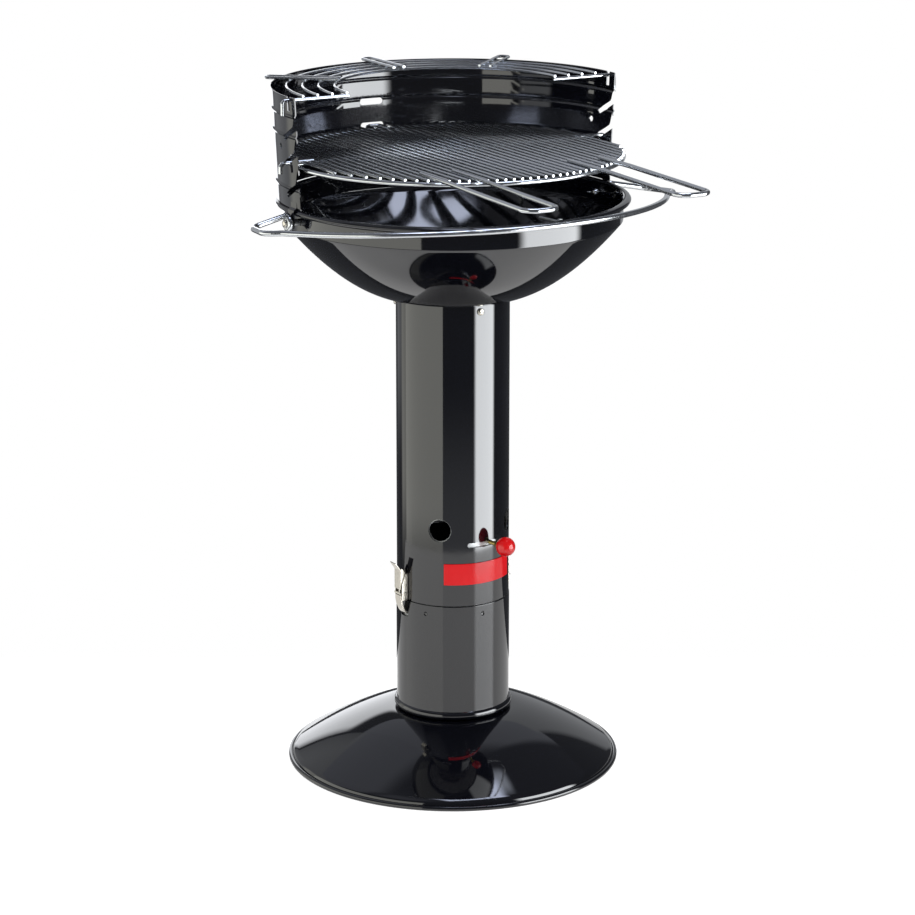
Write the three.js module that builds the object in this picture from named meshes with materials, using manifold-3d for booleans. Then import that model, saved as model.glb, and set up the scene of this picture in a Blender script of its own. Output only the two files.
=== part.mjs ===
// Charcoal barbecue on a round pedestal, standing on the floor.
// Millimetres, +Z up, the front is -Y, the origin is on the floor under the centre of the foot.
import * as THREE from 'three';
import { mergeVertices } from 'three/addons/utils/BufferGeometryUtils.js';
import Module from 'manifold-3d';

const wasm = await Module();
wasm.setup();

// Shared sizes
const SHEET = 2; // enamelled sheet of the foot, pot, column and bowl
const GAP = 0.3; // clearance between pieces that touch
const OVERRUN = 6; // how far a cutting tool reaches past what it cuts
const WELD = 0.5; // how far one wire sinks into another at a weld
const ROUND_SIDES = 36;
const SMALL_SIDES = 8;
const WIRE_SIDES = 6;
const BEND_STEP = 30; // degrees turned by each step of a bent wire
const ARC_STEP = 12; // degrees turned by each step of a long wire arc

// Foot
const FOOT_RADIUS = 238;
const FOOT_BEAD = 3.6; // radius of the rolled edge
const FOOT_FLAT = 1.4; // half width of the flat that the edge stands on
const FOOT_EDGE_HEIGHT = 12;
const FOOT_BAND = 5.4; // width of the steep band inside the rolled edge
const FOOT_TOP_RADIUS = 84;
const FOOT_TOP_HEIGHT = 75;
const FOOT_BULGE_SHARE = 1.45; // power of the dome's fall from its top to its edge
const FOOT_STEPS = 5;

// Bolt that joins the foot and the ash pot
const FOOT_BOLT_RADIUS = 4;
const FOOT_BOLT_HEAD_RADIUS = 7;
const FOOT_BOLT_HEAD = 5;
const FOOT_BOLT_SPARE = 4; // thread that shows above the nut
const FOOT_WASHER_RADIUS = 12;
const FOOT_WASHER = 1.6;
const FOOT_NUT_RADIUS = 7.5;
const FOOT_NUT = 6.5;

// Ash pot
const POT_STEP = 0.8; // the pot's radius over the column's
const POT_HEIGHT = 170.7;
const POT_BEAD_REACH = 3.7; // the roll round its bottom stands out this far from its wall
const POT_BEAD = 6.8; // radius of that roll
const POT_BEAD_RISE = 7.7; // middle of the roll above the pot's bottom
const DIMPLE_COUNT = 6;
const DIMPLE_DROP = 13; // below the pot's top
const DIMPLE_RADIUS = 3.2;
const DIMPLE_DEPTH = 1.2;
const BUMP_RISE = 0.7; // how far each dimple stands out inside the pot

// Column
const COLUMN_RADIUS = 80;
const COLUMN_LENGTH = 432.7;
const COLUMN_TURN = 3; // column, pot and all on them turned against the bowl
const COLLAR_SHEET = 1.6;
const COLLAR_REACH_DOWN = 31;
const COLLAR_CLEARANCE = 28; // below the damper's sleeve
const AIR_HOLE_RADIUS = 16.5;
const AIR_HOLE_RISE = 22; // above the damper's stem
const AIR_HOLE_AZIMUTH = 45;
const AIR_HOLE_COUNT = 4;

// Air damper
const SLEEVE_SHEET = 1.5;
const SLEEVE_BELOW = 11; // sleeve below the stem's axis
const SLEEVE_ABOVE = 8; // sleeve above the air holes
const SLEEVE_HOLE_MARGIN = 1; // the sleeve's holes are smaller by this
const STEM_RISE = 26; // above the badge
const STEM_AZIMUTH = 11; // before the column's turn
const STEM_RADIUS = 3;
const STEM_INNER_SPARE = 2;
const STEM_HOLE_MARGIN = 0.4;
const SLOT_AZIMUTHS = [-14, 17.5]; // ends of the slot before the column's turn
const SLOT_HALF_HEIGHT = 3.5;
const KNOB_RADIUS = 13.8;
const KNOB_OUT = 29.5; // knob's centre outside the column
const KNOB_BORE = 8; // depth of the knob's bore
const STEM_NUT_RADIUS = 5.6;
const STEM_NUT = 4.4;

// Badge
const BADGE_AZIMUTH = 40.5;
const BADGE_RISE = 31.7; // above the column's lower edge
const BADGE_HEIGHT = 31;
const BADGE_SHEET = 0.9;
const BADGE_STEPS = 11;

// Latches
const LATCH_PLATE = 1.6; // thickness of the base plate
const LATCH_HALF_WIDTH = 9.1;
const LATCH_BOTTOM = 0.7; // base plate's lower edge above the pot
const LATCH_HEIGHT = 39;
const CHEEK = 1.2; // thickness of the base's cheeks
const CHEEK_REACH = 10; // cheeks stand out this far from the column
const CHEEK_HEIGHT = 23;
const CHEEK_SLOPE = 16;
const PIVOT_REACH = 4.7; // lever pivot outside the column
const PIVOT_RISE = 10.7; // lever pivot above the column's lower edge
const LEVER_ARM = 5.6; // from the lever's pivot to the claw's pin
const LEVER_EYE = 2.4;
const LEVER_HALF_WIDTH = 5.8;
const LEVER_PLATE_HALF_WIDTH = 7.6;
const LEVER_SHEET = 1.6;
const LEVER_FLANGE = 1.3; // thickness of the lever's side flanges
const LEVER_FLANGE_START = 7; // foot of the flanges above the pivot
const LEVER_FLANGE_TOP = 36.7;
const LEVER_PLATE_START = 6; // foot of the finger plate above the pivot
const LEVER_PLATE_TOP = 34;
const LEVER_TAB = 7.4; // how far the finger tab flares out
const LEVER_TAB_RISE = 11.3;
const CLAW_HALF_WIDTH = 7.6;
const CLAW_SHEET = 2.2;
const CLAW_FACE = [[-7.3, 30], [-2.3, 21.5], [-0.3, 16], [0.9, 9]]; // outer face, from the claw's pin
const CLAW_TIP_DROP = 31.5; // underside of the claw's tip below the pin
const CLAW_ENGAGE = 0.8; // depth of the tip's underside in the pot's wall
const CATCH_HALF_WIDTH = 9;
const CATCH_DROP = 4.4; // room in the catch slot below the claw's tip
const PIN_RADIUS = 1.4;
const PIN_HEAD_RADIUS = 2.4;
const PIN_HEAD = 1;
const RIVET_RADIUS = 1.9;
const RIVET_HEAD_RADIUS = 3.2;
const RIVET_HEAD = 1.4;
const RIVET_LOW = 12; // lower rivet above the pivot
const RIVET_PITCH = 9;

// Bowl
const BOWL_RADIUS = 237;
const BOWL_DEPTH = 109.7; // from its bottom to its upright band
const BOWL_BAND = 23; // height of the band
const BOWL_CURVE_SHARE = 1.74; // power of the dish's rise from its neck to its band
const BOWL_STEPS = 6;
const BOWL_BEAD = 4.3; // radius of the rolled rim
const BOWL_BEAD_RISE = 5.5; // middle of the rim above the band
const BOWL_BEAD_REACH = 10.5; // rim's outer face outside the band
const NECK_DEPTH = 24;
const DISH_SLANT_SHARE = 1.2; // upright thickness of the dish over its sheet

// Screws between the column and the bowl
const BOWL_SCREW_COUNT = 3;
const BOWL_SCREW_DROP = 9; // below the column's top
const BOWL_SCREW_RADIUS = 2.5;
const BOWL_SCREW_HEAD_RADIUS = 5;
const BOWL_SCREW_HEAD = 3;
const BOWL_SCREW_SPARE = 2;
const BOWL_NUT_RADIUS = 5;
const BOWL_NUT = 4;
const HOLE_MARGIN = 0.4; // a hole's radius over its bolt's

// Fire grate
const FIRE_RING_RADIUS = 104;
const FIRE_WIRE = 3;
const FIRE_BAR_COUNT = 9;
const FIRE_BAR_MARGIN = 20; // last bar inside the ring
const FIRE_SEAT = 1.9; // clearance of the ring over the dish, measured upright

// Windshield
const SHIELD_SHEET = 1.6;
const SHIELD_HEIGHT = 153.9;
const SHIELD_FLARE = 7.3; // its top's radius over its bottom's
const SHIELD_INSET = 3.2; // its bottom inside the outer face of the bowl's rim
const SHIELD_FRONT = 18.7; // how far the half cylinder reaches in front of the axis
const SHIELD_RIB = 1.6; // height of its pressed ribs
const SHIELD_RIB_HALF_WIDTH = 3;
const RIB_LOW_RISE = 27.9; // lowest rib above the shield's lower edge
const RIB_MIDDLE_RISE = 72; // middle rib above the lowest
const RIB_HIGH_RISE = 28; // highest rib above the middle one
const SLANT_ANGLE = 27;
const SLANT_SLOT = 4; // half height of the slanted slots
const SLANT_END = 17; // the slots' inner ends behind the axis
const SLOT_LOW_RISE = 17.9; // lowest slots above the shield's lower edge
const SLOT_MIDDLE_RISE = 43.5; // middle slots above the lowest
const SLOT_HIGH_RISE = 34.5; // highest slots above the middle ones
const SLANT_MOUTH = 9; // extra height of a slot's mouth
const KEYHOLE_BEHIND = 36;
const KEYHOLE_RISE = 20.5; // above the middle slots
const KEYHOLE_RADIUS = 4.2;
const REAR_SLOT_HALF_WIDTH = 18.5;
const REAR_SLOT_HALF_HEIGHT = 4.4;
const NOTCH_HALF_WIDTH = 3.6;
const NOTCH_DEPTH = 20;

// Tabs, bolts and wing nuts that hold the windshield to the bowl
const TAB_HALF_WIDTH = 9;
const TAB_END = 8; // tab below its bolt
const TAB_ROOT = 8; // tab's root on the shield above the shield's lower edge
const TAB_AZIMUTHS = [-90, 90, 180];
const TAB_BOLT_RISE = 15; // above the lower edge of the bowl's band
const TAB_BOLT_RADIUS = 3;
const TAB_BOLT_HEAD_RADIUS = 5.5;
const TAB_BOLT_HEAD = 3.6;
const TAB_BOLT_SPARE = 3;
const SPACER_RADIUS = 5;
const WING_HUB_RADIUS = 5.4;
const WING_HUB = 6;
const WING_SPAN = 12;
const WING_RISE = 9;
const WING_SHEET = 2.4;

// Tool rail round the front
const RAIL_WIRE = 4;
const RAIL_RAISE = 0.7; // the rail's front above the middle of the bowl's rim
const RAIL_ARC_RADIUS = 350;
const RAIL_ARC_SWEEP = 59; // half sweep of the large front arc
const RAIL_EAR_REACH = 74.5; // ear's tip outside the bowl's rim
const RAIL_EAR_FRONT = 68; // the ear's tip in front of the axis
const RAIL_RETURN_REACH = 65.5; // where the ear turns back to the bowl, outside its rim
const RAIL_RETURN_FRONT = 10;
const RAIL_HUMP = 3.5; // the wire's rise from its eye, over the bolt's head
const RAIL_EYE_RADIUS = 8;
const RAIL_EYE_SIDES = 14;
const RAIL_BEND = 20;
const CLIP_AZIMUTH = 9.5;
const CLIP_RADIUS = 2;
const CLIP_INNER = 45; // the clip's rod inside the bowl
const CLIP_NUT_RADIUS = 5;
const CLIP_NUT = 4;

// Cooking grid
const GRID_CLEARANCE = 8.3; // middle of the ring's wire inside the shield's lower edge
const GRID_WIRE = 3.2;
const GRID_BAR = 2.5;
const GRID_BAR_COUNT = 39;
const GRID_BAR_MARGIN = 13.7; // last bar inside the ring
const GRID_CROSS_BEHIND = 31;
const HOOK_WIRE = 3;
const HOOK_INNER = 30; // hook wire inside the ring
const HOOK_OUTER = 9; // hook's drop outside the shield
const HOOK_DROP = 14;
const HOOK_BEND = 5;
const TONGUE_HALF_WIDTH = 11;
const TONGUE_INNER = 22;
const TONGUE_ENGAGE = 0.9;

// Handles of the cooking grid
const HANDLE_WIRE = 3.3;
const HANDLE_INNER_SHARE = 7.58; // inner leg's place, in pitches of the bars
const HANDLE_OUTER_SHARE = 11.735; // outer leg's place, in pitches of the bars
const HANDLE_LAP = 71; // length of the legs inside the ring
const HANDLE_KNEE_REACH = 9; // where a handle starts to drop, outside the ring
const HANDLE_REACH = 210; // handle's tip outside the ring
const HANDLE_DROP = 4;
const HANDLE_BEND = 16;
const HANDLE_NEST = 1.3; // how far a handle's legs sink between two bars

// Warming rack on the windshield
const RACK_ARC_COUNT = 4;
const RACK_ARC_INSET = 88.6; // innermost arc inside the shield's top
const RACK_ARC_PITCH = 22;
const RACK_ARC_WIRE = 2;
const RACK_BAR_WIRE = 2.5;
const RACK_LOOP_WIRE = 2.2;
const RACK_OVERHANG = 3; // bars and loops reach this far inside the innermost arc
const RACK_BAR_OUTER = 8; // bar's drop outside the shield
const RACK_BAR_DROP = 20;
const RACK_BAR_BEND = 4;
const RACK_LOOP_AZIMUTHS = [-129, 180, 135];
const RACK_LOOP_HALF_WIDTH = 8;
const RACK_LOOP_REACH = 12.4; // loops outside the shield's top
const RACK_LOOP_BEND = 6;

const rad = THREE.MathUtils.degToRad;

// Distance of a round shell's flats from its axis, for its radius at the corners
const flatOf = (radius) => radius * Math.cos(Math.PI / ROUND_SIDES);

// Places worked out from the driving dimensions
const COLUMN_BORE = COLUMN_RADIUS - SHEET;
const POT_RADIUS = COLUMN_RADIUS + POT_STEP;
const POT_BORE = POT_RADIUS - SHEET;
const POT_BEAD_RADIUS = POT_RADIUS + POT_BEAD_REACH;
const POT_BOTTOM = FOOT_TOP_HEIGHT + GAP;
const POT_BEAD_HEIGHT = POT_BOTTOM + POT_BEAD_RISE;
const POT_TOP = POT_BOTTOM + POT_HEIGHT;
const DIMPLE_HEIGHT = POT_TOP - DIMPLE_DROP;
const COLUMN_BOTTOM = POT_TOP + GAP;
const COLUMN_TOP = COLUMN_BOTTOM + COLUMN_LENGTH;
const PIVOT_HEIGHT = COLUMN_BOTTOM + PIVOT_RISE;
const CLAW_TIP_HEIGHT = PIVOT_HEIGHT - CLAW_TIP_DROP;
const BADGE_BOTTOM = COLUMN_BOTTOM + BADGE_RISE;
const STEM_HEIGHT = BADGE_BOTTOM + BADGE_HEIGHT + STEM_RISE;
const AIR_HOLE_HEIGHT = STEM_HEIGHT + AIR_HOLE_RISE;
const SLEEVE_BOTTOM = STEM_HEIGHT - SLEEVE_BELOW;
const KNOB_REACH = COLUMN_RADIUS + KNOB_OUT;
const LINER_RADIUS = COLUMN_BORE - GAP; // pieces that sit inside the column
const NECK_RADIUS = LINER_RADIUS;
const NECK_BORE = NECK_RADIUS - SHEET;
const BOWL_BOTTOM = COLUMN_TOP + GAP;
const BOWL_BAND_BOTTOM = BOWL_BOTTOM + BOWL_DEPTH;
const BOWL_BAND_TOP = BOWL_BAND_BOTTOM + BOWL_BAND;
const BOWL_BEAD_HEIGHT = BOWL_BAND_TOP + BOWL_BEAD_RISE;
const BOWL_BEAD_RADIUS = BOWL_RADIUS + BOWL_BEAD_REACH;
const BEAD_CENTRE = BOWL_BEAD_RADIUS - BOWL_BEAD;
const SHIELD_BOTTOM = BOWL_BEAD_HEIGHT + BOWL_BEAD + GAP;
const SHIELD_TOP = SHIELD_BOTTOM + SHIELD_HEIGHT;
const SHIELD_BOTTOM_RADIUS = BOWL_BEAD_RADIUS - SHIELD_INSET;
const SHIELD_TOP_RADIUS = SHIELD_BOTTOM_RADIUS + SHIELD_FLARE;
const RIB_LOW_HEIGHT = SHIELD_BOTTOM + RIB_LOW_RISE;
const RIB_MIDDLE_HEIGHT = RIB_LOW_HEIGHT + RIB_MIDDLE_RISE;
const RIB_HIGH_HEIGHT = RIB_MIDDLE_HEIGHT + RIB_HIGH_RISE;
const SLOT_LOW_HEIGHT = SHIELD_BOTTOM + SLOT_LOW_RISE;
const SLOT_MIDDLE_HEIGHT = SLOT_LOW_HEIGHT + SLOT_MIDDLE_RISE;
const SLOT_HIGH_HEIGHT = SLOT_MIDDLE_HEIGHT + SLOT_HIGH_RISE;
const SLOT_HEIGHTS = [SLOT_LOW_HEIGHT, SLOT_MIDDLE_HEIGHT, SLOT_HIGH_HEIGHT];
const KEYHOLE_HEIGHT = SLOT_MIDDLE_HEIGHT + KEYHOLE_RISE;
const TAB_BOLT_HEIGHT = BOWL_BAND_BOTTOM + TAB_BOLT_RISE;
const TAB_BOTTOM = TAB_BOLT_HEIGHT - TAB_END;
const TAB_INNER = BOWL_BEAD_RADIUS + GAP;
const TAB_OUTER = TAB_INNER + SHIELD_SHEET;
const RAIL_FRONT_REACH = BOWL_BEAD_RADIUS + GAP + RAIL_WIRE;
const RAIL_FRONT_HEIGHT = BOWL_BEAD_HEIGHT + RAIL_RAISE;
const GRID_RADIUS = SHIELD_BOTTOM_RADIUS - GRID_CLEARANCE;
const GRID_BAR_PITCH = (2 * (GRID_RADIUS - GRID_BAR_MARGIN)) / (GRID_BAR_COUNT - 1);
const HOOK_HEIGHT = SLOT_MIDDLE_HEIGHT - SLANT_SLOT + HOOK_WIRE + GAP;
const RING_HEIGHT = HOOK_HEIGHT - GRID_WIRE - HOOK_WIRE + WELD;
const GRID_BAR_HEIGHT = RING_HEIGHT + GRID_WIRE + GRID_BAR - WELD;
const HANDLE_HEIGHT = GRID_BAR_HEIGHT + GRID_BAR + GAP + HANDLE_WIRE - HANDLE_NEST;
const RACK_LOOP_HEIGHT = SHIELD_TOP + GAP + RACK_LOOP_WIRE;
const RACK_ARC_HEIGHT = RACK_LOOP_HEIGHT - RACK_LOOP_WIRE - RACK_ARC_WIRE + WELD;
const RACK_BAR_HEIGHT = RACK_ARC_HEIGHT - RACK_ARC_WIRE - RACK_BAR_WIRE + WELD;
const RACK_ARC_RADIUS = SHIELD_TOP_RADIUS - RACK_ARC_INSET;
const RACK_INNER = RACK_ARC_RADIUS - RACK_OVERHANG;
const RACK_LOOP_OUTER = SHIELD_TOP_RADIUS + RACK_LOOP_REACH;

// Finishes
const enamel = () => new THREE.MeshStandardMaterial({ color: 0x15171a, roughness: 0.12, metalness: 0.0 });
const chrome = () => new THREE.MeshStandardMaterial({ color: 0xd4d6d8, roughness: 0.12, metalness: 1.0 });
const steel = () => new THREE.MeshStandardMaterial({ color: 0xc4c2bb, roughness: 0.3, metalness: 1.0 });
const zinc = () => new THREE.MeshStandardMaterial({ color: 0xc8b06a, roughness: 0.35, metalness: 1.0 });
const redPlastic = () => new THREE.MeshStandardMaterial({ color: 0xd8141c, roughness: 0.25, metalness: 0.0 });
const redFoil = () => new THREE.MeshStandardMaterial({ color: 0xe0191f, roughness: 0.35, metalness: 0.0 });

const group = new THREE.Group();

// Closed shapes

function welded(geometry) {
  const bare = geometry.index ? geometry.toNonIndexed() : geometry.clone();
  bare.deleteAttribute('normal');
  bare.deleteAttribute('uv');
  const merged = mergeVertices(bare);
  const corners = merged.index.array;
  const kept = [];
  for (let i = 0; i < corners.length; i += 3) {
    const [a, b, c] = [corners[i], corners[i + 1], corners[i + 2]];
    if (a !== b && b !== c && c !== a) kept.push(a, b, c);
  }
  merged.setIndex(kept);
  if (volumeOf(merged) < 0) merged.setIndex(kept.reverse());
  return merged;
}

function volumeOf(geometry) {
  const place = geometry.attributes.position;
  const corners = geometry.index.array;
  const [a, b, c] = [new THREE.Vector3(), new THREE.Vector3(), new THREE.Vector3()];
  let sum = 0;
  for (let i = 0; i < corners.length; i += 3) {
    a.fromBufferAttribute(place, corners[i]);
    b.fromBufferAttribute(place, corners[i + 1]);
    c.fromBufferAttribute(place, corners[i + 2]);
    sum += a.dot(b.cross(c));
  }
  return sum;
}

function toSolid(geometry) {
  const shape = welded(geometry);
  return new wasm.Manifold(new wasm.Mesh({
    numProp: 3,
    vertProperties: new Float32Array(shape.attributes.position.array),
    triVerts: new Uint32Array(shape.index.array),
  }));
}

function toGeometry(solid) {
  const mesh = solid.getMesh();
  const geometry = new THREE.BufferGeometry();
  geometry.setAttribute('position', new THREE.BufferAttribute(new Float32Array(mesh.vertProperties), 3));
  geometry.setIndex(new THREE.BufferAttribute(new Uint32Array(mesh.triVerts), 1));
  return geometry;
}

function joined(geometries) {
  return toGeometry(geometries.map(toSolid).reduce((whole, next) => whole.add(next)));
}

function cut(body, tools) {
  return toGeometry(tools.map(toSolid).reduce((whole, next) => whole.subtract(next), toSolid(body)));
}

// Round shapes about the upright axis, from points of radius and height
function turned(profile, sides) {
  const points = profile.map(([radius, height]) => new THREE.Vector2(radius, height));
  points.push(points[0].clone());
  return new THREE.LatheGeometry(points, sides).rotateX(Math.PI / 2);
}

// Round shapes about the X axis, from points of radius and distance along X
function turnedAlongX(profile, sides) {
  const points = profile.map(([radius, x]) => new THREE.Vector2(radius, x));
  return new THREE.LatheGeometry(points, sides).rotateZ(-Math.PI / 2);
}

function rodAlongX(radius, from, to, sides) {
  const rod = new THREE.CylinderGeometry(radius, radius, to - from, sides);
  return rod.rotateZ(-Math.PI / 2).translate((from + to) / 2, 0, 0);
}

function rodAlongY(radius, from, to, sides) {
  const rod = new THREE.CylinderGeometry(radius, radius, to - from, sides);
  return rod.translate(0, (from + to) / 2, 0);
}

function block(x0, x1, y0, y1, z0, z1) {
  const box = new THREE.BoxGeometry(x1 - x0, y1 - y0, z1 - z0);
  return box.translate((x0 + x1) / 2, (y0 + y1) / 2, (z0 + z1) / 2);
}

function tube(outer, inner, bottom, top, sides) {
  return turned([[inner, bottom], [outer, bottom], [outer, top], [inner, top]], sides);
}

// A nut with its axis along X
function nutAlongX(radius, bore, from, to) {
  const body = rodAlongX(radius, from, to, WIRE_SIDES);
  return cut(body, [rodAlongX(bore, from - OVERRUN, to + OVERRUN, SMALL_SIDES)]);
}

// A plate cut from an outline of x and z, as wide as given along Y
function sidePlate(outline, from, to) {
  const shape = new THREE.Shape(outline.map(([x, z]) => new THREE.Vector2(x, z)));
  const plate = new THREE.ExtrudeGeometry(shape, { depth: to - from, bevelEnabled: false, steps: 1 });
  return plate.rotateX(Math.PI / 2).translate(0, to, 0);
}

// An outline of x and z that follows a line of places with one thickness, on the line's left
function strip(line, thickness) {
  const places = line.map(([x, z]) => new THREE.Vector2(x, z));
  const last = places.length - 1;
  const along = (i) => places[i + 1].clone().sub(places[i]).normalize();
  const other = places.map((place, i) => {
    const into = along(Math.max(i - 1, 0));
    const middle = along(Math.min(i, last - 1)).add(into).normalize();
    const reach = thickness / middle.dot(into);
    return new THREE.Vector2(place.x - middle.y * reach, place.y + middle.x * reach);
  });
  return [...places, ...other.reverse()].map(({ x, y }) => [x, y]);
}

// A curved plate between two radii, from one azimuth to another
function sectorPlate(inner, outer, azimuth0, azimuth1, bottom, top, steps) {
  const shape = new THREE.Shape();
  const [a, b] = [rad(azimuth0 - 90), rad(azimuth1 - 90)];
  shape.absarc(0, 0, outer, a, b, false);
  shape.absarc(0, 0, inner, b, a, true);
  const plate = new THREE.ExtrudeGeometry(shape, {
    depth: top - bottom, bevelEnabled: false, steps: 1, curveSegments: steps,
  });
  return plate.translate(0, 0, bottom);
}

// Turns a shape made on the +X side to an azimuth counted from the front
function toAzimuth(geometry, azimuth) {
  return geometry.rotateZ(rad(azimuth - 90));
}

// Bent wires

class BentWire extends THREE.Curve {
  constructor(points) {
    super();
    this.points = points;
  }
  getPoint(t) {
    const last = this.points.length - 1;
    const index = Math.min(Math.floor(t * last), last - 1);
    return this.points[index].clone().lerp(this.points[index + 1], t * last - index);
  }
  getTangent(t) {
    const last = this.points.length - 1;
    const index = Math.round(t * last);
    const here = this.points[index];
    const before = this.points[Math.max(index - 1, 0)];
    const after = this.points[Math.min(index + 1, last)];
    const into = here.clone().sub(before).normalize();
    const out = after.clone().sub(here).normalize();
    return into.add(out).normalize();
  }
  getUtoTmapping(u) {
    return u;
  }
}

// A straight-sided route with its corners rounded to a radius
function roundedRoute(corners, bend) {
  const places = corners.map(([x, y, z]) => new THREE.Vector3(x, y, z));
  const route = [places[0]];
  for (let i = 1; i < places.length - 1; i += 1) {
    const corner = places[i];
    const back = places[i - 1].clone().sub(corner);
    const on = places[i + 1].clone().sub(corner);
    const turn = Math.PI - back.angleTo(on);
    const room = Math.min(back.length(), on.length()) / 2;
    const trim = Math.min(bend * Math.tan(turn / 2), room);
    const start = corner.clone().addScaledVector(back.normalize(), trim);
    const end = corner.clone().addScaledVector(on.normalize(), trim);
    const steps = Math.max(1, Math.ceil(turn / rad(BEND_STEP)));
    route.push(...new THREE.QuadraticBezierCurve3(start, corner, end).getPoints(steps));
  }
  route.push(places[places.length - 1]);
  return route.filter((place, i) => i === 0 || place.distanceTo(route[i - 1]) > WELD / 2);
}

function wire(route, radius, sides = WIRE_SIDES) {
  const section = new THREE.Shape();
  for (let i = 0; i < sides; i += 1) {
    const angle = (2 * Math.PI * i) / sides;
    const [x, y] = [radius * Math.cos(angle), radius * Math.sin(angle)];
    if (i === 0) section.moveTo(x, y);
    else section.lineTo(x, y);
  }
  section.closePath();
  return new THREE.ExtrudeGeometry(section, {
    steps: route.length - 1, bevelEnabled: false, extrudePath: new BentWire(route),
  });
}

function arcRoute(radius, azimuth0, azimuth1, height, centreY = 0) {
  const steps = Math.ceil(Math.abs(azimuth1 - azimuth0) / ARC_STEP);
  return Array.from({ length: steps + 1 }, (_, i) => {
    const azimuth = rad(azimuth0 + ((azimuth1 - azimuth0) * i) / steps);
    return new THREE.Vector3(radius * Math.sin(azimuth), centreY - radius * Math.cos(azimuth), height);
  });
}

// Naming and placing

function piece(name, geometry, material) {
  const mesh = new THREE.Mesh(welded(geometry), material);
  mesh.name = name;
  return mesh;
}

function add(name, geometry, material) {
  group.add(piece(name, geometry, material));
}

function addAtAzimuth(azimuth, pieces) {
  const turnedGroup = new THREE.Group();
  turnedGroup.rotation.z = rad(azimuth - 90);
  turnedGroup.add(...pieces);
  group.add(turnedGroup);
}

// Foot

function footDome(radius) {
  const edge = FOOT_RADIUS - FOOT_BEAD - FOOT_BAND;
  const share = (radius - FOOT_TOP_RADIUS) / (edge - FOOT_TOP_RADIUS);
  return FOOT_EDGE_HEIGHT + (FOOT_TOP_HEIGHT - FOOT_EDGE_HEIGHT) * (1 - share ** FOOT_BULGE_SHARE);
}

function footDish() {
  const bead = FOOT_RADIUS - FOOT_BEAD;
  const edge = bead - FOOT_BAND;
  const hole = FOOT_BOLT_RADIUS + HOLE_MARGIN;
  const outside = [[hole, FOOT_TOP_HEIGHT]];
  const inside = [[hole, FOOT_TOP_HEIGHT - SHEET]];
  for (let i = 0; i <= FOOT_STEPS; i += 1) {
    const radius = FOOT_TOP_RADIUS + ((edge - FOOT_TOP_RADIUS) * i) / FOOT_STEPS;
    outside.push([radius, footDome(radius)]);
    inside.push([radius - SHEET / 2, footDome(radius) - SHEET]);
  }
  outside.push([bead, 2 * FOOT_BEAD], [FOOT_RADIUS, FOOT_BEAD], [bead + FOOT_FLAT, 0], [bead - FOOT_FLAT, 0]);
  outside.push([bead - FOOT_BEAD, FOOT_BEAD]);
  return turned([...outside, ...inside.reverse()], ROUND_SIDES);
}

function footFastener() {
  const under = FOOT_TOP_HEIGHT - SHEET - GAP;
  const over = POT_BOTTOM + SHEET + GAP;
  const washerBottom = under - FOOT_WASHER;
  const headTop = washerBottom - GAP;
  const nutTop = over + FOOT_NUT;
  const bolt = turnedAlongX([
    [0, headTop - FOOT_BOLT_HEAD],
    [FOOT_BOLT_HEAD_RADIUS, headTop - FOOT_BOLT_HEAD],
    [FOOT_BOLT_HEAD_RADIUS, headTop],
    [FOOT_BOLT_RADIUS, headTop],
    [FOOT_BOLT_RADIUS, nutTop + FOOT_BOLT_SPARE],
    [0, nutTop + FOOT_BOLT_SPARE],
  ], SMALL_SIDES).rotateY(-Math.PI / 2);
  const bore = FOOT_BOLT_RADIUS + HOLE_MARGIN;
  const washer = tube(FOOT_WASHER_RADIUS, bore, washerBottom, under, 2 * SMALL_SIDES);
  const nut = nutAlongX(FOOT_NUT_RADIUS, bore, over, nutTop).rotateY(-Math.PI / 2);
  add('foot_bolt', bolt, steel());
  add('foot_washer', washer, steel());
  add('foot_nut', nut, steel());
}

// Ash pot

function ashPot() {
  const centre = POT_BEAD_RADIUS - POT_BEAD;
  const hole = FOOT_BOLT_RADIUS + HOLE_MARGIN;
  const profile = [[hole, POT_BOTTOM]];
  for (const angle of [-60, -20, 20, 60]) {
    profile.push([
      centre + POT_BEAD * Math.cos(rad(angle)),
      POT_BEAD_HEIGHT + POT_BEAD * Math.sin(rad(angle)),
    ]);
  }
  profile.push([POT_RADIUS, POT_BEAD_HEIGHT + POT_BEAD], [POT_RADIUS, POT_TOP], [POT_BORE, POT_TOP]);
  profile.push([POT_BORE, POT_BOTTOM + SHEET], [hole, POT_BOTTOM + SHEET]);
  let pot = turned(profile, ROUND_SIDES);
  const bumps = [];
  const dents = [];
  for (let i = 0; i < DIMPLE_COUNT; i += 1) {
    const azimuth = COLUMN_TURN + (360 * i) / DIMPLE_COUNT;
    const bump = rodAlongX(DIMPLE_RADIUS, POT_BORE - BUMP_RISE, POT_BORE + SHEET / 2, WIRE_SIDES);
    const near = POT_RADIUS - DIMPLE_DEPTH;
    const dent = rodAlongX(DIMPLE_RADIUS - SHEET / 2, near, POT_RADIUS + OVERRUN, WIRE_SIDES);
    bumps.push(toAzimuth(bump.translate(0, 0, DIMPLE_HEIGHT), azimuth));
    dents.push(toAzimuth(dent.translate(0, 0, DIMPLE_HEIGHT), azimuth));
  }
  pot = joined([pot, ...bumps]);
  const [low, high] = [CLAW_TIP_HEIGHT - CATCH_DROP, CLAW_TIP_HEIGHT + CLAW_SHEET + CLAW_SHEET / 2];
  const [near, far] = [POT_BORE - OVERRUN, POT_RADIUS + OVERRUN];
  for (const azimuth of latchAzimuths()) {
    const slot = block(near, far, -CATCH_HALF_WIDTH, CATCH_HALF_WIDTH, low, high);
    dents.push(toAzimuth(slot, azimuth));
  }
  return cut(pot, dents);
}

// Column

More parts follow.
